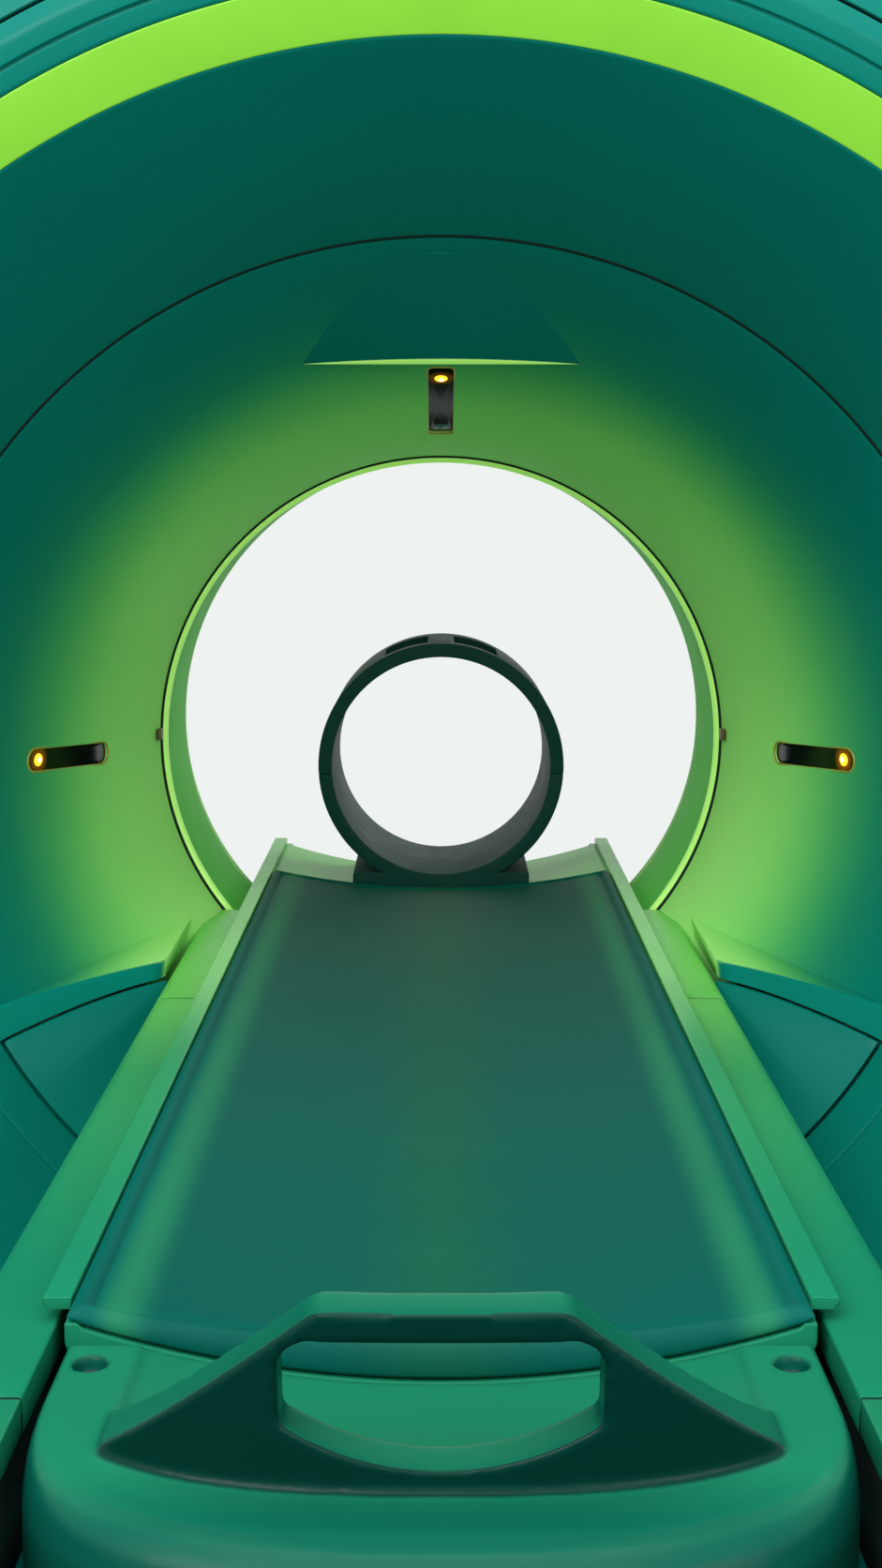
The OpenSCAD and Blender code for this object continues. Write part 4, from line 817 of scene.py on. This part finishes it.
def facet(first, last, rows):
    """Flat strip between two (distance, height) lines, as wide as the flare is there."""
    s = np.linspace(0, 1, rows)[:, None]
    u = np.linspace(-1, 1, 49)[None, :]
    d = first[0] + (last[0] - first[0]) * s
    z = first[1] + (last[1] - first[1]) * s
    half = np.sqrt(np.maximum(flare_radius(d) ** 2 - z ** 2, 0))
    return points_at(u * half, d, z)


front_rows = facet(VISOR_LOW, VISOR_TOP, 40)
under_rows = facet(VISOR_BACK, VISOR_LOW, 10)
visor_rows = np.concatenate([under_rows[:-1], front_rows])
visor = new_piece("visor_facet", visor_rows, grid_faces(*visor_rows.shape[:2]), COVER)
thick = visor.modifiers.new("thickness", "SOLIDIFY")
thick.thickness, thick.offset = 3 * MM, 1
added_to(baked(visor), "front_funnel")
LIP_H = 9 * MM
u = np.linspace(-1, 1, 65)[None, :]
v = np.linspace(0, 1, 5)[:, None]
slope = np.array([VISOR_TOP[0] - VISOR_LOW[0], VISOR_TOP[1] - VISOR_LOW[1]])
slope = slope / np.linalg.norm(slope)
lip_half = np.sqrt(flare_radius(VISOR_LOW[0]) ** 2 - VISOR_LOW[1] ** 2)
rise = LIP_H * (1 - u ** 2) * v
bulge = 2.2 * MM * np.sin(math.pi * v) ** 0.5 * (1 - u ** 4)
lip_points = points_at(u * lip_half, VISOR_LOW[0] + rise * slope[0] + bulge * slope[1],
                       VISOR_LOW[1] + rise * slope[1])
# The lip's brightness is a painted highlight, from its finish's emission.
lip = new_piece("visor_lip_painted_highlight", lip_points, grid_faces(*rise.shape), TRIM)
added_to(lip, "front_funnel", "tunnel_white")

# %% [markdown]
# ## Rails, strips and the tabletop
# These are long straight sections with rounded corners. A section is carried along the table, and its last
# few millimetres are drawn in by a quarter circle, so that the ends are round as well. Dark seals fill the
# joints of the rails.

# %% Long straight bars
def bar(name, section, first_d, last_d, finish, end_round=2 * MM):
    """A section of (across, height) with round ends. Each end's distance is one value or one a point."""
    turn = np.linspace(0, QUARTER_TURN, 5)[:, None]
    share = np.linspace(0, 1, 26)[1:-1, None]
    inset = end_round * np.concatenate([1 - np.sin(turn), 0 * share, 1 - np.sin(turn[::-1])])
    start, stop = first_d + end_round + np.zeros(len(section)), last_d - end_round + np.zeros(len(section))
    along = np.concatenate([start - end_round * np.cos(turn), start + (stop - start) * share,
                            stop + end_round * np.cos(turn[::-1])])
    ring = section + inward(section) * inset[..., None]
    return new_piece(name, points_at(ring[..., 0], along, ring[..., 1]), tube_faces(*along.shape), finish)


def two_sided(x, low, high):
    """Closed section from its underside and its top, both given at the same places across."""
    return np.concatenate([pairs(x, low), pairs(x, high)[::-1]])


def clustered(low, high, fine, count):
    """Places from low to high, close together at both ends: fine * (1 - cos) over a quarter turn."""
    near = fine * (1 - np.cos(np.linspace(0, QUARTER_TURN, 15)))
    return np.concatenate([low + near, np.linspace(low + fine, high - fine, count)[1:-1], high - near[::-1]])


def edge_drop(inside, r):
    """How far a quarter circle of radius r falls below the face, at a distance inside the edge."""
    return r * (1 - np.sqrt(1 - (1 - np.clip(inside / r, 0, 1)) ** 2))


def mirrored(section, side):
    """The section on the right side, or turned over to the left."""
    return section * [side, 1]


SIDES = ((-1, "left"), (1, "right"))


# %% Side rails and bridge rails
rail_low, rail_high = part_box("side_rail_right")
RAIL_IN, RAIL_OUT = rail_low[0], rail_high[0]
RAIL_DROP, SIDE_LOW = AXIS_Z - rail_high[2], AXIS_Z - rail_low[2]
BRIDGE_LOW = AXIS_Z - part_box("bridge_rail_right")[0][2]
RAIL_SEAT, RAIL_STEP = 10 * MM, RAIL_DROP + 22 * MM
DOCK_D, FOOT_SEAM_D = MOUTH_Y - rail_high[1], MOUTH_Y - rail_low[1]
RAIL_ROUND, BRIDGE_START = 12 * MM, 6 * MM


def rail_section(low):
    """Rail seen from the foot: flat top, 12 mm outer edge, a foot that slopes in, a step over the deck."""
    x = clustered(RAIL_IN, RAIL_OUT, RAIL_ROUND, 12)
    high = -RAIL_DROP - edge_drop(x - RAIL_IN, 2 * MM) - edge_drop(RAIL_OUT - x, RAIL_ROUND)
    slope = (low - RAIL_STEP - RAIL_ROUND) / RAIL_ROUND
    under = np.maximum(-low, -RAIL_STEP - RAIL_ROUND - (RAIL_OUT - x) * slope)
    return two_sided(x, np.where(x < RAIL_IN + RAIL_SEAT + AIR, -RAIL_STEP + AIR, under), high)


JOINT_GAP, JOINT_SINK, CRISP = 5 * MM, 0.8 * MM, 0.5 * MM
for side, word in SIDES:
    bridge, rail = (mirrored(rail_section(low), side) for low in (BRIDGE_LOW, SIDE_LOW))
    start_d = flare_distance(np.hypot(*bridge.T), BRIDGE_START)
    stands_for(bar(f"bridge_rail_{word}_paint", bridge, start_d, DOCK_D - JOINT_GAP, RAIL, CRISP),
               f"bridge_rail_{word}")
    stands_for(bar(f"side_rail_{word}_paint", rail, DOCK_D, FOOT_SEAM_D, RAIL, CRISP), f"side_rail_{word}")
    for place, node, section, first_d, last_d in (
            ("dock", f"bridge_rail_{word}", bridge, DOCK_D - JOINT_GAP, DOCK_D),
            ("foot", f"side_rail_{word}", rail, FOOT_SEAM_D, FOOT_SEAM_D + SEAM)):
        sunk = section + inward(section) * JOINT_SINK
        added_to(bar(f"rail_joint_{place}_{word}", sunk, first_d, last_d, SEAL, 0.1 * MM), node, "seal_black")

# %% Tabletop and its edge strips
CRADLE_W, CRADLE_DROP, HOLLOW = 230 * MM, 207 * MM, 38 * MM
CRADLE_LOW, BELLY_W, CRADLE_SIDE = 288 * MM, 150 * MM, 20 * MM


def cradle_height(x):
    """Height of the hollow: the edge's height less the hollow's depth times (1 - (x / half)^2)."""
    return -CRADLE_DROP - HOLLOW * (1 - (x / CRADLE_W) ** 2)


x = clustered(-CRADLE_W, CRADLE_W, 14 * MM, 40)
side_room = CRADLE_W - np.abs(x)
rim_flat = np.clip((CRADLE_W - 8 * MM - np.abs(x)) / (3 * MM), 0, 1)
cradle_top = -CRADLE_DROP + (cradle_height(x) + CRADLE_DROP) * rim_flat - edge_drop(side_room, 2 * MM)
chine = (CRADLE_LOW - CRADLE_DROP - CRADLE_SIDE) * (1 - side_room / (CRADLE_W - BELLY_W))
chine = (chine + np.hypot(chine, 6 * MM)) / 2
cradle = two_sided(x, -CRADLE_LOW + chine + edge_drop(side_room, 8 * MM), cradle_top)
HEAD_D = MOUTH_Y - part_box("tabletop")[1][1]
CAP_D = MOUTH_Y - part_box("tabletop")[0][1]
stands_for(bar("tabletop_cradle", cradle, HEAD_D, CAP_D, RAIL), "tabletop")
STRIP_IN, STRIP_W, STRIP_T = 229 * MM, 247 * MM, 8 * MM
x = clustered(STRIP_IN, STRIP_W, 4 * MM, 8)
strip_top = -CRADLE_DROP + STRIP_T - edge_drop(x - STRIP_IN, 1.2 * MM) - edge_drop(STRIP_W - x, 1.2 * MM)
strip_low = -CRADLE_DROP + np.where(x > STRIP_W - 3 * MM, 3 * MM, 0)
strip_section = two_sided(x, strip_low, strip_top)
STRIP_END_D = MOUTH_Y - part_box("edge_strips")[0][1]
strips = [bar(f"edge_strip_{word}", mirrored(strip_section, side), HEAD_D, STRIP_END_D, STRIP, CRISP)
          for side, word in SIDES]
stands_for(strips[0], "edge_strips")
added_to(strips[1], "edge_strips")

# %% [markdown]
# ## Wings
# A wing is a ledge beside the rail. Its top falls gently outwards, and its front face lies in one cone with
# the lower panel, so that only a fine seam shows between them. Both its ends in depth are circles round the
# axis.

# %% Wing ledges
PANEL_R, PANEL_TOP_R, PANEL_TOP_D = flare_radius(PANEL_D), 368 * MM, 338 * MM
WING_CORNER, WING_BACK_D = 14 * MM, 60 * MM
cone_slope = (PANEL_D - PANEL_TOP_D) / (PANEL_R - PANEL_TOP_R)


def wing_front_d(x, z):
    """Front face: the panels' cone, drawn back by a quarter circle where the ledge meets the rail."""
    cone = PANEL_TOP_D + np.maximum(np.hypot(x, z) - PANEL_TOP_R, 0) * cone_slope
    near = np.clip(1 - (x - WING_X) / WING_CORNER, 0, 1)
    return cone - WING_CORNER * (1 - np.sqrt(1 - near ** 2))


def wing(name, side):
    """Sections of (distance, height) across the wing: top, front face, underside and back."""
    near, far = np.linspace(0, 1, 10) ** 2 * WING_CORNER, np.linspace(WING_CORNER, WING_W, 40)
    x = WING_X + np.concatenate([near, far[1:]])
    top, low = wing_line(x)
    low = low + SEAM / 2
    front_top, front_low = wing_front_d(x, top), wing_front_d(x, low)
    back_top, back_low = (np.minimum(flare_distance(np.hypot(x, z), WING_BACK_D), front_d - 0.1 * MM)
                          for z, front_d in ((top, front_top), (low, front_low)))
    corners = np.array([[back_top, top], [front_top, top], [front_low, low], [back_low, low]])
    ring = rounded(corners.transpose(2, 0, 1), np.array([0, 6, 1.5, 0]) * MM, 7)
    points = points_at(side * x[:, None], ring[..., 0], ring[..., 1])
    return new_piece(name, points, tube_faces(*ring.shape[:2]), LEDGE, 50)


for side, word in SIDES:
    stands_for(wing(f"wing_ledge_{word}", side), f"wing_{word}")

# %% [markdown]
# ## Softened parts
# Many hard parts already have the right shape in the frame, only with sharp edges. A copy is merged, its
# flat faces are joined, and a small bevel rounds each edge. That is how a mould's radii look.

# %% Bevelled copies of hard parts
def merged_copy(node, finish):
    """A copy of a CAD node with its loose triangles joined and flat faces made whole."""
    mesh = frame["nodes"][node].data.copy()
    bm = bmesh.new()
    bm.from_mesh(mesh)
    bmesh.ops.remove_doubles(bm, verts=bm.verts, dist=1e-5)
    bmesh.ops.dissolve_limit(bm, angle_limit=math.radians(1), verts=bm.verts, edges=bm.edges)
    bm.to_mesh(mesh)
    bm.free()
    mesh.materials.clear()
    mesh.materials.append(finish)
    return placed(f"{node}_finish", mesh)


SHARP = math.radians(32)


def softened(node, finish, width, segments):
    """The CAD node with rounded edges, in its place."""
    obj = merged_copy(node, finish)
    bevel = obj.modifiers.new("round_edges", "BEVEL")
    bevel.width, bevel.segments = width, segments
    bevel.limit_method, bevel.angle_limit = "ANGLE", SHARP
    bevel.harden_normals = False
    baked(obj)
    obj.data.shade_smooth()
    obj.data.set_sharp_from_angle(angle=SHARP)
    return stands_for(obj, node)


SOFT = (("ring_clips", CATCH, 1.2), ("lower_panel_left", COVER, 1.5), ("lower_panel_right", COVER, 1.5),
        ("foot_cover", RAIL, 3), ("deck_cover", COVER, 1), ("pedestal_lower_cover", COVER, 3),
        ("pedestal_upper_cover", RAIL, 3), ("base_skirt", SKIRT, 3), ("head_coil_base", SHELL, 5),
        ("head_coil_top", SHELL, 5), ("bore_runners", TUBE, 2), ("service_turret", VESSEL, 4))
for node, finish, width in SOFT:
    softened(node, finish, width * MM, 4 if finish is SHELL else 3)

# %% [markdown]
# ## End cap with the pull handle
# The foot end of the tabletop is one thick moulding whose edges all flow together. Voxels and a smoothing
# pass melt the sharp solid into that form, as a sanded pattern would be. Its paint has shade painted in: dark
# on the handle's front, darker on faces that don't look up, and darker towards the toe.

# %% Cap finish with painted shade
PLATE_DROP, TOE_SHADE_START, TOE_SHADE_FULL = 219 * MM, 95 * MM, 45 * MM


def cap_with_painted_shade(name):
    """Green satin paint with shade painted in: darker at its toe and on faces that don't look up, and dark
    where the handle faces the foot.
    """
    material, tree = new_finish(name, roughness=0.32, **SATIN)
    place, way = parts(tree), parts(tree, "Normal")
    plate_z, toe_y = AXIS_Z - PLATE_DROP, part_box("end_cap")[0][1]
    above = remap(tree, place["Z"], plate_z - 3 * MM, plate_z + MM)
    # Painted shade: the handle's front, where it faces the foot above the plate, is painted dark.
    painted_grip_shade = combine(tree, "MULTIPLY", above, remap(tree, way["Y"], -0.2, -0.5))
    # Painted shade: the top is painted darker towards the toe.
    painted_toe_shade = remap(tree, place["Y"], toe_y + TOE_SHADE_START, toe_y + TOE_SHADE_FULL)
    top = blend_colours(tree, painted_toe_shade, linear("#1a7a5a"), linear("#09614c"))
    # Painted shade: faces that don't look up are painted darker than the top.
    paint = blend_colours(tree, remap(tree, way["Z"], 0.55, 1.0), linear("#044e41"), top)
    feed(tree, "Base Color", blend_colours(tree, painted_grip_shade, paint, linear("#02352d")))
    orange_peel(tree)
    return material


CAP = cap_with_painted_shade("cap_paint_painted_shade")


# %% Melted end cap
def melted(node, finish, voxel, rounds):
    """The CAD node rebuilt from voxels and smoothed, so that every edge becomes a soft radius."""
    obj = merged_copy(node, finish)
    remesh = obj.modifiers.new("voxels", "REMESH")
    remesh.mode, remesh.voxel_size = "VOXEL", voxel
    smooth = obj.modifiers.new("melt", "SMOOTH")
    smooth.factor, smooth.iterations = 0.5, rounds
    baked(obj)
    obj.data.shade_smooth()
    return stands_for(obj, node)


melted("end_cap", CAP, 2.5 * MM, 10)

# %% Screws in the wells
WELL_X, WELL_D, WELL_DEPTH = 209 * MM, CAP_D + 29 * MM, 10 * MM
screw_section = np.array([(0, 0), (3, 0), (3.4, 2.2), (7, 2.2), (7.8, 1.4), (7.8, -2)]) * MM


def well_screw(name, side):
    """A screw head turned about an upright axis, with a hexagonal socket in its middle."""
    radius, height = screw_section.T[..., None]
    turn = full_turn(36)
    hexagon = np.cos(math.pi / 6) / np.cos((turn + math.pi / 6) % (math.pi / 3) - math.pi / 6)
    r = radius * np.where(np.arange(len(radius))[:, None] < 3, hexagon, 1)
    points = points_at(side * WELL_X + r * np.cos(turn), WELL_D - r * np.sin(turn),
                       height - PLATE_DROP - WELL_DEPTH)
    added_to(new_piece(name, points, grid_faces(*r.shape, False, True), STEEL, 30), "end_cap", "steel")


for side, word in SIDES:
    well_screw(f"cap_screw_{word}", side)

# %% [markdown]
# ## Other finishes
# What stays hidden, or has the right form as it is, keeps its mesh and gets the finish of its material.

# %% Finishes of the remaining parts
PLAIN = {COVER: "bridge_deck", VESSEL: "magnet_vessel", COPPER: "gradient_coil", FORMER: "body_coil",
         BOARD: "led_board", BELT: "drive_belt", NYLON: "roller_front roller_rear",
         DARK: "laser_modules blower_housing table_base lift_actuator drive_motor",
         STEEL: "magnet_feet cold_head quench_flange blower_wheel table_deck lift_scissor drive_pulley "
                "idler_pulley"}
for finish, nodes in PLAIN.items():
    for node in nodes.split():
        mesh = frame["nodes"][node].data
        mesh.materials.clear()
        mesh.materials.append(finish)
print(sum(len(nodes.split()) for nodes in PLAIN.values()), "parts keep their mesh")

# %% [markdown]
# ## Mattress
# A thin foam pad in a wipe-clean cover lies in the hollow of the cradle. Its section is the hollow below
# and a slightly fuller curve above, with soft edges. The ends are drawn in over the last few millimetres.

# %% Mattress cloth with a painted sheen
def wipe_clean_cloth(name, stops, shade):
    """Coated cloth: a weave 1.6 mm apart as a bump, drawn twice as coarse as it is, with broad soft creases.
    Its colour follows the distance from the middle line, with a painted sheen: lighter bands on the turned-up
    sides and down the middle."""
    material, tree = new_finish(name, roughness=0.55, ior=1.5, specular_ior_level=0.07)
    across = add(tree, "ShaderNodeMath", {0: parts(tree)["X"]}, operation="ABSOLUTE").outputs[0]
    share = remap(tree, across, 0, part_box("mattress")[1][0])
    shaded = combine(tree, "MULTIPLY", speckle(tree, 0.25), 0.4)
    feed(tree, "Base Color", blend_colours(tree, shaded, colour_ramp(tree, share, stops), linear(shade)))
    weave = [add(tree, "ShaderNodeTexWave", {"Vector": coords(tree), "Scale": 1 / (20 * 1.6 * MM)},
                 bands_direction=axis).outputs[1] for axis in ("X", "Y")]
    crossed = combine(tree, "MULTIPLY", *weave)
    bumps(tree, [(speckle(tree, 0.12), 0.5, 3 * MM), (crossed, 0.15, 0.3 * MM)])
    return material


# Painted sheen: the lighter stops in the middle and near the sides stand for reflections on the curved cloth.
CLOTH_SHEEN_STOPS = [(0.0, "#115b45"), (0.3, "#02564c"), (0.76, "#02564c"), (0.87, "#237c58"), (0.95, "#026057")]
CLOTH = wipe_clean_cloth("wipe_clean_cloth", CLOTH_SHEEN_STOPS, "#024a42")

# %% Mattress pad
PAD_T, PAD_EDGE, PAD_MEET = 21.5 * MM, 9.5 * MM, 4 * MM
EDGE_ROUND, WELT_IN, WELT_W, WELT_DEEP, ROLL = 8 * MM, 15 * MM, 2.5 * MM, 2.6 * MM, 1.6 * MM
pad_low, pad_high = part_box("mattress")


def edge_curve(inside):
    """Fullness beside an edge, a quarter circle: the root of (1 - (1 - inside / round)^2)."""
    return np.sqrt(1 - (1 - np.clip(inside / EDGE_ROUND, 0, 1)) ** 2)


x = clustered(pad_low[0], pad_high[0], 30 * MM, 60)[None, :]
y = clustered(pad_low[1], pad_high[1], 30 * MM, 150)[:, None]
from_side, from_end = pad_high[0] - np.abs(x), np.minimum(y - pad_low[1], pad_high[1] - y)
full = edge_curve(from_side) * edge_curve(from_end)
inside = np.minimum(from_side, from_end)
roll = ROLL * np.exp(-((inside - WELT_IN / 2) / (4 * MM)) ** 2)
welt = roll - WELT_DEEP * np.exp(-((inside - WELT_IN) / WELT_W) ** 2)
crown = PAD_EDGE + (PAD_T - PAD_EDGE) * (1 - (x / pad_high[0]) ** 2)
bed = AXIS_Z + cradle_height(x) + 0.5 * MM
upper = bed + PAD_MEET + full * (crown - PAD_MEET + welt)
lower = bed + PAD_MEET * (1 - full)
sheets = np.stack([np.stack([x + 0 * y, y + 0 * x, z], axis=-1) for z in (upper, lower)])
one_sheet = np.array(grid_faces(*upper.shape))
pad_faces = np.concatenate([one_sheet, one_sheet + upper.size]).tolist()
mattress = new_piece("mattress_pad", sheets, pad_faces, CLOTH)
stands_for(mattress, "mattress")

# %% [markdown]
# ## Stage, light and camera
# The floor and the background are pale and plain. Soft area lights from the front and above show colours
# about as they are written. The camera stands above the table's foot and looks down 8 degrees.

# %% Stage
def seen_rays(tree):
    """1 for rays that show the background: the camera's, and those off shiny and through clear surfaces."""
    path = add(tree, "ShaderNodeLightPath").outputs
    direct = combine(tree, "MAXIMUM", path["Is Camera Ray"], path["Is Glossy Ray"])
    return combine(tree, "MAXIMUM", direct, path["Is Transmission Ray"])


BACKDROP = "#eef2f0"
FADE_START, FADE_END = 1.8, 4.5


def stage_finish(name, colour, shade):
    """Matt floor with a barely visible grain, which fades into the pale backdrop from 1.8 to 4.5 m away."""
    material, tree = new_finish(name, roughness=0.8)
    feed(tree, "Base Color", blend_colours(tree, speckle(tree, 0.02), linear(colour), linear(shade)))
    far = remap(tree, length_of(tree, coords(tree)), FADE_START, FADE_END, kind="SMOOTHSTEP")
    share = combine(tree, "MULTIPLY", far, seen_rays(tree))
    pale = add(tree, "ShaderNodeEmission", {0: linear(BACKDROP), 1: 1.0}).outputs[0]
    paint = tree.nodes["Principled BSDF"].outputs[0]
    mixed = add(tree, "ShaderNodeMixShader", {0: share, 1: paint, 2: pale}).outputs[0]
    tree.links.new(mixed, tree.nodes["Material Output"].inputs["Surface"])
    return material


FLOOR_HALF = 30.0
floor_corners = np.array([[-1, -1, 0], [1, -1, 0], [1, 1, 0], [-1, 1, 0]]) * FLOOR_HALF
FLOOR = stage_finish("pale_floor", "#dfe5e2", "#d9e0dd")
floor = new_piece("stage_floor", floor_corners, [[0, 1, 2, 3]], FLOOR)
world = bpy.data.worlds.new("pale_room")
bpy.context.scene.world = world
world.use_nodes = True
tree = world.node_tree
tree.nodes.clear()
room = add(tree, "ShaderNodeBackground", {0: linear("#dfeae6"), 1: 0.4}).outputs[0]
backdrop = add(tree, "ShaderNodeBackground", {0: linear(BACKDROP), 1: 1.0}).outputs[0]
mixed = add(tree, "ShaderNodeMixShader", {0: seen_rays(tree), 1: room, 2: backdrop}).outputs[0]
add(tree, "ShaderNodeOutputWorld", {0: mixed})

# %% Lights
def softbox(name, place, target, size, watts):
    """A square area light that looks at a point."""
    data = bpy.data.lights.new(name, "AREA")
    data.size, data.energy = size, watts
    light = placed(name, data)
    light.location = place
    aim = np.subtract(target, place)
    light.rotation_euler = (math.acos(aim[2] / np.linalg.norm(aim)) + math.pi, 0,
                            math.atan2(aim[1], aim[0]) + QUARTER_TURN)


front_y = MOUTH_Y - BAND_D
softbox("key_softbox", (-1.6, front_y - 2.6, 3.4), (0, front_y, 1.1), 2.2, 110)
softbox("fill_softbox", (2.2, front_y - 3.0, 2.6), (0, front_y, 1.0), 2.4, 60)
softbox("top_softbox", (0, front_y - 0.9, 3.6), (0, front_y - 0.7, 0.9), 2.2, 45)
softbox("rear_softbox", (2.8, MOUTH_Y + 3.3, 3.8), (0, MOUTH_Y, 1.0), 2.4, 120)

# %% Camera
PITCH = math.radians(7.889)
CAMERA_D, CAMERA_H, FOCAL_LENGTH = 2443.5 * MM, 283 * MM, 45.2
lens = bpy.data.cameras.new("camera")
lens.lens, lens.sensor_width, lens.clip_start = FOCAL_LENGTH, 36, 0.02
camera = placed("camera", lens)
camera.location = (0, MOUTH_Y - CAMERA_D, AXIS_Z + CAMERA_H)
camera.rotation_euler = (QUARTER_TURN - PITCH, 0, 0)
scene = bpy.context.scene
scene.camera = camera
scene.view_settings.view_transform = "Standard"
